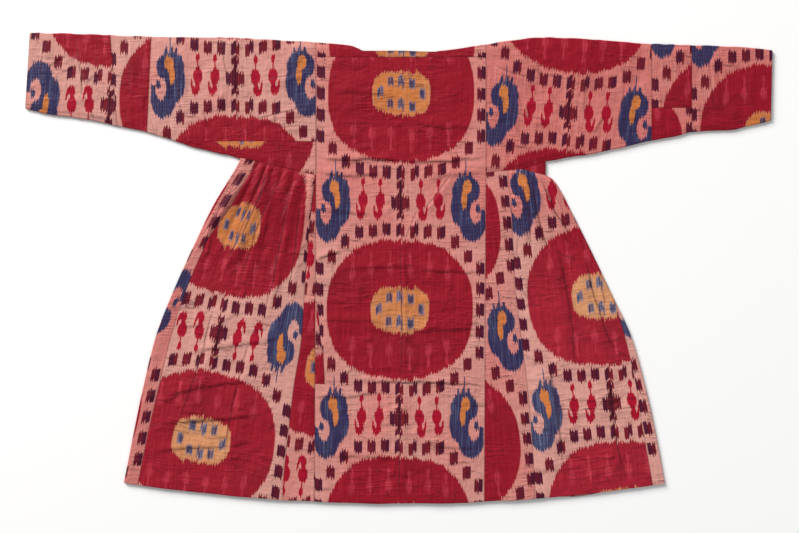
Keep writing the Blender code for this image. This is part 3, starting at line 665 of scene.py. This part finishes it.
def lay_sleeve(name, seam_a, seam_b, low=None, high=None, low_fold=True, top_fold=True):
    """Part of a flattened sleeve between two cross seams, each given at its lower and upper end.

    v runs from the lower edge up the back, over the top fold and down the front; with no top fold
    it runs from the upper seam down the back, round the lower fold and up the front.
    """
    def low_edge(x):
        return low(x) if low else sleeve_low(x) + FOLD

    def high_edge(x):
        return high(x) if high else sleeve_top(x) - FOLD

    def lay(u, v):
        shares = ROUND_LOW_FOLD if not top_fold else WHOLE_SLEEVE if low_fold else OVER_TOP_FOLD
        back_start, back_end, front_start, front_end = shares
        rise = np.clip((v - back_start) / (back_end - back_start), 0, 1)
        fall = np.clip((v - front_start) / (front_end - front_start), 0, 1)
        share = rise - fall if top_fold else 1 - rise + fall
        turn = math.pi / 2 - math.pi * np.clip((v - back_end) / (front_start - back_end), 0, 1)
        out = FOLD * np.cos(turn) * (1 if top_fold else -1)
        closing = np.zeros_like(v)
        if top_fold and low_fold:
            closing = np.clip((back_start - v) / back_start, 0, 1)
            closing = closing + np.clip((v - front_end) / (1 - front_end), 0, 1)
            turn = turn - np.sign(turn) * closing * (math.pi / 2 - 0.06)
            out = np.where(closing > 0, -FOLD * np.cos(turn), out)
        x = mix(mix(*seam_a, share), mix(*seam_b, share), u)
        low_y, high_y = low_edge(x), high_edge(x)
        y = mix(low_y, high_y, share) + out
        z = FOLD_MIDDLE + FOLD * np.sin(turn)
        from_fold = np.full_like(v, 1.0)
        if top_fold:
            from_fold = np.minimum(from_fold, high_y - y)
        if low_fold:
            from_fold = np.minimum(from_fold, y - low_y)
        held = np.where((v < back_end) & (closing == 0), smooth(from_fold / 0.012), 0)
        cross = np.minimum(u, 1 - u) * np.abs(mix(*seam_b, 0.5) - mix(*seam_a, 0.5))
        long_edge = 1.0 if low_fold and top_fold else np.minimum(v, 1 - v) * 0.4
        lift = sewn(relief(x, y), x, y, cross) * held
        fold_y = high_y if top_fold else low_y
        unrolled = np.where(v > (back_end + front_start) / 2, 2 * fold_y - y, y)
        return x, y, z + lift, *on_ikat(name, x, unrolled), np.minimum(cross, long_edge)

    return lay


def lay_right_gusset(name):
    edge_x = RIGHT_UNDERARM - 2 * HALF_GAP

    def lay(u, v):
        start = RIGHT_GUSSET_TIP + 0.004
        back = np.clip(u / GUSSET_ON_TOP, 0, 1)
        under = np.clip((u - GUSSET_BEND_END) / (1 - GUSSET_BEND_END), 0, 1)
        bent = np.clip((u - GUSSET_ON_TOP) / (GUSSET_BEND_END - GUSSET_ON_TOP), 0, 1)
        turn = math.pi / 2 - math.pi * bent
        at = mix(start, edge_x - FOLD, back - under)
        x = at + FOLD * np.cos(turn)
        y = mix(gore_top(at) + HALF_GAP, sleeve_low(at) - HALF_GAP, v)
        lift = np.where(u < GUSSET_ON_TOP, 0.0008, 0) * smooth((edge_x - x) / 0.012)
        z = FOLD_MIDDLE + FOLD * np.sin(turn) + lift
        edge = np.minimum(y - gore_top(at), sleeve_low(at) - y)
        return x, y, z, *on_ikat(name, x, y), edge

    return lay


# Materials

def linear(red, green, blue):
    """A colour given from 0 to 255 as screens show it, as a shader takes it."""
    values = [value / 255 for value in (red, green, blue)]
    return (*(v / 12.92 if v <= 0.04045 else ((v + 0.055) / 1.055) ** 2.4 for v in values), 1.0)


CRIMSON = linear(142, 10, 32)
CRIMSON_LIGHT = linear(158, 34, 50)
CRIMSON_DULL = linear(116, 22, 32)
ROSE = linear(205, 121, 114)
ROSE_DEEP = linear(170, 70, 72)
BEIGE = linear(202, 143, 133)
MAROON = linear(76, 14, 40)
NAVY = linear(50, 41, 79)
NAVY_LIGHT = linear(92, 104, 132)
AMBER = linear(196, 114, 60)
AMBER_LIGHT = linear(200, 138, 98)
SCARLET = linear(158, 8, 38)
FIGURE = linear(196, 62, 80)
DARK_SPINE = linear(52, 8, 26)
# painted shade, mixed into the colour at seams, creases and the sharpest wrinkles
SEAM_SHADE = linear(52, 8, 18)


class Wiring:
    """Short ways of adding nodes to a tree and joining them."""

    def __init__(self, tree):
        self.tree = tree

    def feed(self, socket, value):
        if isinstance(value, bpy.types.NodeSocket):
            self.tree.links.new(value, socket)
        else:
            socket.default_value = value

    def node(self, kind, **settings):
        node = self.tree.nodes.new(kind)
        for key, value in settings.items():
            setattr(node, key, value)
        return node

    def calculate(self, operation, *values):
        node = self.node("ShaderNodeMath", operation=operation)
        for socket, value in zip(node.inputs, values):
            self.feed(socket, value)
        return node.outputs[0]

    def plus(self, *values):
        return self.calculate("ADD", *values)

    def minus(self, *values):
        return self.calculate("SUBTRACT", *values)

    def times(self, *values):
        return self.calculate("MULTIPLY", *values)

    def divide(self, *values):
        return self.calculate("DIVIDE", *values)

    def vector(self, operation, *values):
        node = self.node("ShaderNodeVectorMath", operation=operation)
        for socket, value in zip(node.inputs, values):
            self.feed(socket, value)
        return node.outputs["Value" if operation in ("LENGTH", "DOT_PRODUCT") else "Vector"]

    def point(self, x, y):
        node = self.node("ShaderNodeCombineXYZ")
        self.feed(node.inputs[0], x)
        self.feed(node.inputs[1], y)
        return node.outputs[0]

    def ramp(self, value, low, high, out_low=0.0, out_high=1.0):
        node = self.node("ShaderNodeMapRange")
        for socket, entry in zip(node.inputs, (value, low, high, out_low, out_high)):
            self.feed(socket, entry)
        return node.outputs[0]

    def noise(self, vector, scale, detail=2.0):
        node = self.node("ShaderNodeTexNoise")
        self.feed(node.inputs["Vector"], vector)
        self.feed(node.inputs["Scale"], scale)
        self.feed(node.inputs["Detail"], detail)
        return node.outputs["Fac"]

    def speckle(self, value):
        node = self.node("ShaderNodeTexWhiteNoise", noise_dimensions="1D")
        self.feed(node.inputs["W"], value)
        return node.outputs["Value"]

    def paint(self, mask, under, over):
        node = self.node("ShaderNodeMix", data_type="RGBA")
        self.feed(node.inputs[0], mask)
        self.feed(node.inputs[6], under)
        self.feed(node.inputs[7], over)
        return node.outputs[2]

    def oval(self, place, x, y, half_width, half_height, softness=0.05):
        """A mask that is 1 inside an oval."""
        offset = self.vector("SUBTRACT", place, (x, y, 0))
        share = self.vector("LENGTH", self.vector("DIVIDE", offset, (half_width, half_height, 1)))
        return self.ramp(share, 1 + softness, 1 - softness)

    def bar(self, place, x, y, half_width, half_height, round_by=0.0025):
        """A mask that is 1 inside an upright bar with round ends."""
        offset = self.vector("ABSOLUTE", self.vector("SUBTRACT", place, (x, y, 0)))
        beyond = self.vector("SUBTRACT", offset, (half_width - round_by, half_height - round_by, 0))
        distance = self.vector("LENGTH", self.vector("MAXIMUM", beyond, (0, 0, 0)))
        return self.ramp(distance, round_by + 0.0004, round_by - 0.0004)

    def lozenge(self, place, half_width, half_height, power):
        """A mask that is 1 inside a rounded square about the middle."""
        parts = self.node("ShaderNodeSeparateXYZ")
        self.feed(parts.inputs[0], self.vector("ABSOLUTE", place))
        x = self.calculate("POWER", self.divide(parts.outputs[0], half_width), power)
        y = self.calculate("POWER", self.divide(parts.outputs[1], half_height), power)
        return self.ramp(self.plus(x, y), 1.018, 0.982)

    def any_of(self, masks):
        total = masks[0]
        for mask in masks[1:]:
            total = self.calculate("MAXIMUM", total, mask)
        return total


def new_group(name, inputs, outputs):
    group = bpy.data.node_groups.new(name, "ShaderNodeTree")
    for label, kind in inputs:
        group.interface.new_socket(label, in_out="INPUT", socket_type=kind)
    for label, kind in outputs:
        group.interface.new_socket(label, in_out="OUTPUT", socket_type=kind)
    return group, group.nodes.new("NodeGroupInput"), group.nodes.new("NodeGroupOutput")


# The ikat's motifs, in metres from the middle of the loom width. Up to FIGURES y is from the
# medallion's middle, and after that from the middle of the row between medallions. Each motif but
# the medallion, its heart and the heart's spots is drawn again, mirrored, on the other half.
TOOTH = 0.0029                      # width of the jags at the ends of the motifs
MEDALLION = (0.173, 0.165, 2.4)     # half width, half height, and how square it is
HEART = (0.0665, 0.0478, 3.2)
HEART_RIM = (0.0692, 0.0516, 3.0)
RING_SPOT = (0.0099, 0.0146)        # half width, half height
HEART_SPOT = (0.0062, 0.0088)
HEART_SPOT_RIM = (0.0082, 0.0128)
RING_SPOTS = (
    (0.000, 0.188), (0.033, 0.188), (0.065, 0.186), (0.097, 0.182), (0.130, 0.162),
    (0.161, 0.128), (0.190, 0.099), (0.190, 0.050), (0.190, 0.000),
)
HEART_SPOTS = ((0.026, -0.027), (0.000, -0.026), (0.050, 0.001), (0.025, 0.027), (0.000, 0.029))
FIGURES = ((0.024, 0.104), (0.069, 0.104), (0.112, 0.094))
# The three ovals of a pale figure: how far up from its place, half width, half height
FIGURE_OVALS = ((-0.009, 0.0078, 0.0150), (0.013, 0.0022, 0.0180), (0.026, 0.0042, 0.0070))
SMALL_BOTEHS = (0.048, 0.089)
# Columns: kind of shape, x, y, half width, half height
LARGE_BOTEH = (
    ("oval", 0.154, 0.024, 0.0330, 0.038), ("oval", 0.171, -0.054, 0.0300, 0.040),
    ("oval", 0.1445, -0.013, 0.0260, 0.048), ("bar", 0.195, -0.044, 0.0050, 0.022),
    ("bar", 0.154, 0.080, 0.0013, 0.021), ("bar", 0.140, 0.058, 0.0028, 0.012),
    ("bar", 0.150, 0.062, 0.0024, 0.011), ("bar", 0.164, 0.060, 0.0030, 0.011),
)
BOTEH_BAY = (("oval", 0.177, -0.027, 0.0130, 0.026), ("oval", 0.191, -0.006, 0.0110, 0.013))
BOTEH_TIP = (("oval", 0.183, -0.019, 0.0058, 0.0105),)
BOTEH_CORE = (("oval", 0.157, 0.033, 0.0108, 0.018), ("oval", 0.1500, 0.004, 0.0068, 0.022))
CROSS = (
    ("bar", 0.0, 0.0010, 0.0082, 0.0210), ("bar", 0.0150, -0.0010, 0.0072, 0.0150),
    ("bar", 0.0, 0.0410, 0.0092, 0.0092), ("bar", 0.0, -0.0330, 0.0090, 0.0085),
    ("bar", 0.0, 0.0270, 0.0036, 0.0120), ("bar", 0.0, -0.0220, 0.0034, 0.0100),
)
CROSS_SPINE = (("bar", 0.0, 0.0040, 0.0018, 0.0400),)


def small_boteh(x):
    """A little boteh: an oval body on a curled tail, under a thin stem with a bud on it."""
    return (
        ("oval", x, 0.0000, 0.0112, 0.0200), ("oval", x + 0.0050, -0.0290, 0.0105, 0.0145),
        ("bar", x + 0.0140, -0.0210, 0.0024, 0.0100), ("bar", x, 0.0250, 0.0015, 0.0120),
        ("oval", x, 0.0420, 0.0050, 0.0100),
    )


def ikat_group():
    """The woven design: colours and a thread mask from a place on the cloth."""
    group, given, result = new_group(
        "woven ikat",
        (("Place", "NodeSocketVector"), ("Fading", "NodeSocketFloat"), ("Light", "NodeSocketFloat")),
        (("Color", "NodeSocketColor"), ("Thread", "NodeSocketFloat")))
    wire = Wiring(group)
    parts = wire.node("ShaderNodeSeparateXYZ")
    wire.feed(parts.inputs[0], given.outputs["Place"])
    across, along = parts.outputs[0], parts.outputs[1]

    def bundles(width, shift):
        """A number from 0 to 1 for each bundle of warp threads of a width."""
        return wire.speckle(wire.calculate("FLOOR", wire.divide(wire.plus(across, shift), width)))

    # Each bundle of warp threads slipped a little before it was woven
    thread, fine = bundles(0.0012, 5.0), bundles(0.0023, 6.0)
    tied, wide = bundles(0.0054, 3.0), bundles(0.0105, 4.0)
    teeth = wire.divide(wire.calculate("PINGPONG", wire.plus(across, 7.0), TOOTH), TOOTH)
    slips = (thread, 0.0025), (fine, 0.0062), (tied, 0.0052), (wide, 0.0034), (teeth, 0.0055)
    slip = 0.0
    for bundle, distance in slips:
        slip = wire.plus(slip, wire.times(wire.minus(bundle, 0.5), distance))
    waver = wire.times(wire.minus(wire.noise(given.outputs["Place"], 6.0), 0.5), 0.020)
    slipped = wire.plus(wire.plus(along, slip), waver)
    aside = wire.calculate("ABSOLUTE", wire.plus(across, wire.times(waver, 0.25)))
    shifted = wire.plus(slipped, REPEAT / 2)
    in_medallion = wire.minus(wire.calculate("FLOORED_MODULO", shifted, REPEAT), REPEAT / 2)
    in_row = wire.minus(wire.calculate("FLOORED_MODULO", slipped, REPEAT), REPEAT / 2)
    medallion = wire.point(aside, in_medallion)
    quarter = wire.point(aside, wire.calculate("ABSOLUTE", in_medallion))
    row = wire.point(aside, in_row)

    # The ground, with streaks along the warp and softer fading
    stretched = wire.vector("MULTIPLY", given.outputs["Place"], (520.0, 11.0, 1.0))
    streak = wire.noise(stretched, 1.0, 3.0)
    cloudy = wire.noise(given.outputs["Place"], 5.5, 4.0)
    fading = wire.minus(given.outputs["Fading"], 0.5)
    faded = wire.ramp(wire.plus(cloudy, fading), 0.40, 0.75)
    ground = wire.paint(faded, ROSE, BEIGE)
    deeper = wire.ramp(wire.minus(streak, fading), 0.55, 0.85, 0.0, 0.75)
    ground = wire.paint(deeper, ground, ROSE_DEEP)

    def motif(shapes):
        return wire.any_of([
            wire.oval(row, *size, 0.04) if kind == "oval" else
            wire.bar(row, *size, min(0.003, 0.9 * size[2])) for kind, *size in shapes])

    bleached = wire.plus(streak, wire.times(fading, 0.32))
    lighter = wire.ramp(bleached, 0.45, 0.85, 0.0, 0.8)
    crimson = wire.paint(lighter, CRIMSON, CRIMSON_LIGHT)
    crimson = wire.paint(wire.ramp(cloudy, 0.52, 0.70, 0.0, 0.45), crimson, CRIMSON_DULL)
    colour = wire.paint(wire.lozenge(medallion, *MEDALLION), ground, crimson)
    figures = wire.any_of([wire.oval(quarter, x, y + up, half_width, half_height, 0.3)
                           for x, y in FIGURES for up, half_width, half_height in FIGURE_OVALS])
    faint = wire.times(figures, wire.ramp(streak, 0.32, 0.62, 0.10, 0.60))
    colour = wire.paint(faint, colour, FIGURE)
    colour = wire.paint(wire.times(wire.lozenge(medallion, *HEART_RIM), 0.7), colour, AMBER_LIGHT)
    pinker = wire.ramp(wire.plus(wire.plus(streak, cloudy), fading), 0.95, 1.50)
    amber = wire.paint(pinker, AMBER, AMBER_LIGHT)
    colour = wire.paint(wire.lozenge(medallion, *HEART), colour, amber)
    paler = wire.plus(streak, wire.times(fading, 0.12))
    blue = wire.paint(wire.ramp(paler, 0.52, 0.72, 0.0, 0.75), NAVY, NAVY_LIGHT)
    rims = wire.any_of([wire.bar(medallion, *spot, *HEART_SPOT_RIM) for spot in HEART_SPOTS])
    pale_threads = wire.times(rims, wire.ramp(thread, 0.2, 0.6, 0.1, 0.80))
    colour = wire.paint(pale_threads, colour, NAVY_LIGHT)
    dots = wire.any_of([wire.bar(medallion, *spot, *HEART_SPOT) for spot in HEART_SPOTS])
    dark_threads = wire.times(dots, wire.ramp(fine, 0.15, 0.45, 0.15, 0.9))
    colour = wire.paint(dark_threads, colour, blue)
    ring = wire.any_of([wire.bar(quarter, *spot, *RING_SPOT) for spot in RING_SPOTS])
    redder = wire.ramp(wire.plus(wide, wire.times(cloudy, 0.8)), 0.65, 1.25, 0.0, 0.85)
    colour = wire.paint(ring, colour, wire.paint(redder, MAROON, CRIMSON_DULL))

    # The row of botehs, which all stand the same way up
    colour = wire.paint(motif(LARGE_BOTEH), colour, blue)
    colour = wire.paint(motif(BOTEH_BAY), colour, ground)
    colour = wire.paint(motif(BOTEH_TIP), colour, blue)
    colour = wire.paint(motif(BOTEH_CORE), colour, AMBER)
    little = [shape for x in SMALL_BOTEHS for shape in small_boteh(x)]
    colour = wire.paint(motif(little), colour, SCARLET)
    notches = [("oval", x + 0.0090, -0.0170, 0.0032, 0.0070) for x in SMALL_BOTEHS]
    colour = wire.paint(motif(notches), colour, ground)
    colour = wire.paint(motif(CROSS), colour, wire.paint(wire.ramp(fine, 0.3, 0.6), CRIMSON_DULL, MAROON))
    colour = wire.paint(motif(CROSS_SPINE), colour, DARK_SPINE)

    # Single threads are a little lighter or darker than their neighbours
    shade = wire.plus(wire.times(thread, 0.14), wire.times(streak, 0.34))
    bright = wire.node("ShaderNodeHueSaturation")
    shade = wire.plus(shade, wire.times(fading, 0.13))
    wire.feed(bright.inputs["Value"], wire.plus(shade, given.outputs["Light"]))
    wire.feed(bright.inputs["Color"], colour)
    wire.feed(result.inputs["Color"], bright.outputs[0])
    wire.feed(result.inputs["Thread"], thread)
    return group


def weave_group():
    """Height of the silk's ribs, slubs and fine wrinkles, and a mask of painted shade at seams, creases and
    the sharpest wrinkles.
    """
    group, given, result = new_group(
        "silk weave",
        (("Place", "NodeSocketVector"), ("From Edge", "NodeSocketFloat"), ("Creased", "NodeSocketFloat"),
         ("Thread", "NodeSocketFloat")),
        (("Height", "NodeSocketFloat"), ("Shade", "NodeSocketFloat"), ("Roughness", "NodeSocketFloat")))
    wire = Wiring(group)

    def pattern(scale, detail):
        return wire.noise(wire.vector("MULTIPLY", given.outputs["Place"], scale), 1.0, detail)

    def height(values):
        total = 0.0
        for value, rise in values:
            total = wire.plus(total, wire.times(value, rise))
        return total

    # Wrinkles run mostly across the warp, broken and uneven, and along the sharpest, shade is painted as
    # thin dark lines
    across = wire.calculate("ABSOLUTE", wire.minus(pattern((11.0, 68.0, 1.0), 1.5), 0.5))
    slanting = wire.calculate("ABSOLUTE", wire.minus(pattern((34.0, 40.0, 3.0), 1.0), 0.5))
    patches = wire.ramp(pattern((9.0, 14.0, 7.0), 1.0), 0.42, 0.60)
    ribs, slubs = pattern((260.0, 1500.0, 1.0), 1.0), pattern((60.0, 420.0, 1.0), 2.0)
    crumple = pattern((48.0, 85.0, 5.0), 1.0)
    wrinkles = wire.times(wire.ramp(across, 0.0, 0.10, 1.0, 0.0), patches)
    wire.feed(result.inputs["Height"], height((
        (ribs, 0.16), (slubs, 0.20), (given.outputs["Thread"], 0.05), (crumple, 1.00), (wrinkles, 0.70),
        (wire.ramp(slanting, 0.0, 0.10, 1.0, 0.0), 0.35))))
    thin = wire.times(wire.ramp(across, 0.003, 0.011, 0.55, 0.0), patches)
    # Painted shade: dark at the seams and along the creases, as well as the wrinkles' thin lines
    seam = wire.ramp(given.outputs["From Edge"], 0.0, 0.0030, 0.36, 0.0)
    fold = wire.times(given.outputs["Creased"], 0.75)
    wire.feed(result.inputs["Shade"], wire.any_of([thin, seam, fold]))
    wire.feed(result.inputs["Roughness"], wire.ramp(slubs, 0.3, 0.7, 0.52, 0.68))
    return group


def ikat_material(name, fading, more_below, light, groups):
    """Ikat silk: how faded it is, how much more below the waist, and how light."""
    material = bpy.data.materials.new(name)
    material.use_nodes = True
    wire = Wiring(material.node_tree)
    shader = material.node_tree.nodes["Principled BSDF"]
    place = wire.node("ShaderNodeUVMap", uv_map="cut").outputs[0]

    def attribute(name):
        return wire.node("ShaderNodeAttribute", attribute_name=name).outputs["Fac"]

    design = wire.node("ShaderNodeGroup", node_tree=groups["ikat"])
    wire.feed(design.inputs["Place"], place)
    worn = wire.times(attribute("worn"), more_below)
    wire.feed(design.inputs["Fading"], wire.plus(worn, fading))
    wire.feed(design.inputs["Light"], light)
    weave = wire.node("ShaderNodeGroup", node_tree=groups["weave"])
    wire.feed(weave.inputs["Place"], place)
    wire.feed(weave.inputs["From Edge"], attribute("from_edge"))
    wire.feed(weave.inputs["Creased"], attribute("creased"))
    wire.feed(weave.inputs["Thread"], design.outputs["Thread"])
    # Painted shade: the colour is darkened towards SEAM_SHADE at seams, creases and the sharpest wrinkles
    wire.feed(shader.inputs["Base Color"],
              wire.paint(weave.outputs["Shade"], design.outputs["Color"], SEAM_SHADE))
    wire.feed(shader.inputs["Roughness"], weave.outputs["Roughness"])
    bump = wire.node("ShaderNodeBump")
    bump.inputs["Strength"].default_value = 0.9
    bump.inputs["Distance"].default_value = 0.001
    wire.feed(bump.inputs["Height"], weave.outputs["Height"])
    wire.feed(shader.inputs["Normal"], bump.outputs[0])
    shader.inputs["Sheen Weight"].default_value = 0.03
    shader.inputs["Sheen Roughness"].default_value = 0.40
    shader.inputs["Specular IOR Level"].default_value = 0.14
    return material


GROUPS = {"ikat": ikat_group(), "weave": weave_group()}
BRIGHT = ikat_material("ikat_silk", 0.49, 0.14, 0.77, GROUPS)
SOFT = ikat_material("ikat_silk_softened", 0.55, 0.0, 0.765, GROUPS)
PALE = ikat_material("ikat_silk_sun_faded", 0.46, 0.50, 0.745, GROUPS)
BLEACHED = ikat_material("ikat_silk_bleached", 0.46, 0.85, 0.765, GROUPS)
MELLOW = ikat_material("ikat_silk_mellow", 0.70, 0.0, 0.75, GROUPS)
DEEP = ikat_material("ikat_silk_deep", 0.36, 0.0, 0.785, GROUPS)
# Painted shade: a darker copy of the silk for the left front side, which curves round the folded edge into
# shade
SHADED = ikat_material("ikat_silk_shaded", 0.44, 0.0, 0.70, GROUPS)


# The pieces

def cells(length, cell=FINE_CELL):
    return max(4, round(length / cell))


def make_body():
    top, bottom, step = STRIP[0][0], STRIP[-1][0], 0.0002
    levels = np.concatenate((
        np.linspace(HEM_Y, bottom, cells(bottom - HEM_Y)), [bottom + step],
        np.linspace(bottom + FINE_CELL, top - step, cells(top - bottom)), [top + step],
        np.linspace(top + FINE_CELL, YOKE_SEAM - 2 * HALF_GAP, cells(YOKE_SEAM - top))))
    cloth_sheet("back_centre_panel", cells(0.40), len(levels) - 1,
                lay_back_panel("back_centre_panel", levels), BRIGHT,
                (0.402, 1.057), area=0.419)
    cloth_sheet("back_piecing_strip", 8, cells(top - bottom), lay_strip("back_piecing_strip"), SOFT,
                (0.022, 0.194), area=0.0026)
    cloth_sheet("neck_strip", cells(0.40), 30, lay_neck_strip("neck_strip"), BRIGHT,
                (0.402, 0.046), area=0.0135)
    # side, its name, each sheet's width, length and area, and what the wide gore and the front are made of
    for side, where, narrow, wide, front, gore_cloth, front_cloth in (
            # the left front is in the silk with painted shade
            (-1, "left", (0.078, 0.774, 0.030), (0.402, 0.802, 0.230), (0.440, 0.814, 0.255), PALE, SHADED),
            (1, "right", (0.120, 0.784, 0.064), (0.402, 0.779, 0.184), (0.420, 0.785, 0.220),
             BLEACHED, BLEACHED)):
        name = f"back_gore_{where}_narrow"
        cloth_sheet(name, cells(0.09), cells(0.77), lay_narrow_gore(side, name), SOFT,
                    narrow[:2], area=narrow[2])
        name = f"back_gore_{where}_wide"
        cloth_sheet(name, cells(0.36), cells(0.78), lay_wide_gore(side, name), gore_cloth,
                    wide[:2], area=wide[2])
        name = f"front_side_{where}"
        cloth_sheet(name, 60, cells(0.78, 0.006), lay_front_side(side), front_cloth,
                    front[:2], area=front[2])
        name = f"front_panel_{where}"
        cloth_sheet(name, cells(0.2, PLAIN_CELL), cells(1.0, PLAIN_CELL), lay_front_panel(side, name),
                    BRIGHT, (0.222, 1.075), area=0.215)


def moved(seam, distance):
    return seam[0] + distance, seam[1] + distance


def make_sleeves():
    left_armhole, right_armhole = (ARMHOLE[-1] - 2 * HALF_GAP,) * 2, (ARMHOLE[1] + 2 * HALF_GAP,) * 2
    middle = moved(RIGHT_UPPER_SEAM, HALF_GAP), moved(RIGHT_CUFF_SEAM, -HALF_GAP)

    def above_gusset(x):
        past_tip = smooth((x - GUSSET_TIP + 0.01) / 0.02)
        return mix(sleeve_low(x), GUSSET_SEAM + HALF_GAP, past_tip) + FOLD * 0.8

    # name, cross seams, edges, material, length along the arm, width round it, flat sheet, its area
    for name, seams, edges, material, length, around, flat, area in (
            ("sleeve_left_cuff", (LEFT_CUFF_END, moved(LEFT_CUFF_SEAM, -HALF_GAP)), {}, MELLOW,
             0.21, 0.42, (0.37, 0.216), 0.077),
            ("sleeve_left_band", (moved(LEFT_CUFF_SEAM, HALF_GAP), moved(LEFT_BAND_SEAM, -HALF_GAP)), {},
             MELLOW, 0.09, 0.42, (0.43, 0.097), 0.0378),
            ("sleeve_left_upper", (moved(LEFT_BAND_SEAM, HALF_GAP), left_armhole), {"low": above_gusset},
             MELLOW, 0.39, 0.42, (0.50, 0.40), 0.195),
            ("sleeve_right_upper", (right_armhole, moved(RIGHT_UPPER_SEAM, -HALF_GAP)), {}, DEEP,
             0.39, 0.42, (0.62, 0.392), 0.218),
            ("sleeve_right_middle", middle,
             {"low": lambda x: np.full_like(x, PATCH_SEAM + 2 * HALF_GAP), "low_fold": False}, DEEP,
             0.095, 0.42, (0.30, 0.095), 0.0285),
            ("sleeve_right_middle_patch", middle,
             {"high": lambda x: np.full_like(x, PATCH_SEAM), "top_fold": False}, DEEP,
             0.095, 0.14, (0.14, 0.095), 0.0125),
            ("sleeve_right_cuff", (moved(RIGHT_CUFF_SEAM, HALF_GAP), RIGHT_CUFF_END), {}, DEEP,
             0.19, 0.42, (0.40, 0.190), 0.071),
            ("gusset_left", ((GUSSET_TIP,) * 2, left_armhole),
             {"low": lambda x: sleeve_low(x) + FOLD, "top_fold": False,
              "high": lambda x: np.maximum(GUSSET_SEAM - HALF_GAP, sleeve_low(x) + FOLD)}, BRIGHT,
             0.31, 0.14, (0.16, 0.313), 0.031)):
        cloth_sheet(name, cells(length), cells(around * 1.25), lay_sleeve(name, *seams, **edges), material,
                    flat, area=area)
    cloth_sheet("gusset_right", 26, 12, lay_right_gusset("gusset_right"), BRIGHT, (0.11, 0.033),
                area=0.0019)


make_body()
make_sleeves()


# Floor, light and camera

def shine(name, place, aim, size, watts, tint):
    bpy.ops.object.light_add(type="AREA", location=place)
    lamp = bpy.context.object
    lamp.name = name
    lamp.data.size = size
    lamp.data.energy = watts
    lamp.data.color = tint
    direction = Vector(aim) - Vector(place)
    lamp.rotation_euler = direction.to_track_quat("-Z", "Y").to_euler()


def make_stage():
    bpy.ops.mesh.primitive_plane_add(size=12, location=(0, 0, -0.0012))
    floor = bpy.context.object
    floor.name = "floor"
    paper = bpy.data.materials.new("pale_paper")
    paper.use_nodes = True
    shader = paper.node_tree.nodes["Principled BSDF"]
    shader.inputs["Base Color"].default_value = (0.97, 0.97, 0.97, 1)
    shader.inputs["Roughness"].default_value = 0.9
    floor.data.materials.append(paper)
    shine("key", (-7.0, 8.4, 5.6), (0, 0, 0), 6.0, 2300, (1.0, 0.99, 0.975))
    shine("fill", (2.6, -1.2, 3.4), (0, 0, 0), 2.4, 24, (0.97, 0.985, 1.0))
    world = bpy.data.worlds.new("soft_room") if bpy.context.scene.world is None else bpy.context.scene.world
    bpy.context.scene.world = world
    world.use_nodes = True
    world.node_tree.nodes["Background"].inputs[0].default_value = (1, 1, 1, 1)
    world.node_tree.nodes["Background"].inputs[1].default_value = 0.30


def make_camera():
    view_width = 1.891
    height = 3.0
    bpy.ops.object.camera_add(location=(0.0014, 0.0045, height + UPPER))
    camera = bpy.context.object
    camera.data.sensor_width = 36
    camera.data.lens = 36 * height / view_width
    bpy.context.scene.camera = camera
    bpy.context.scene.view_settings.view_transform = "Standard"


make_stage()
make_camera()
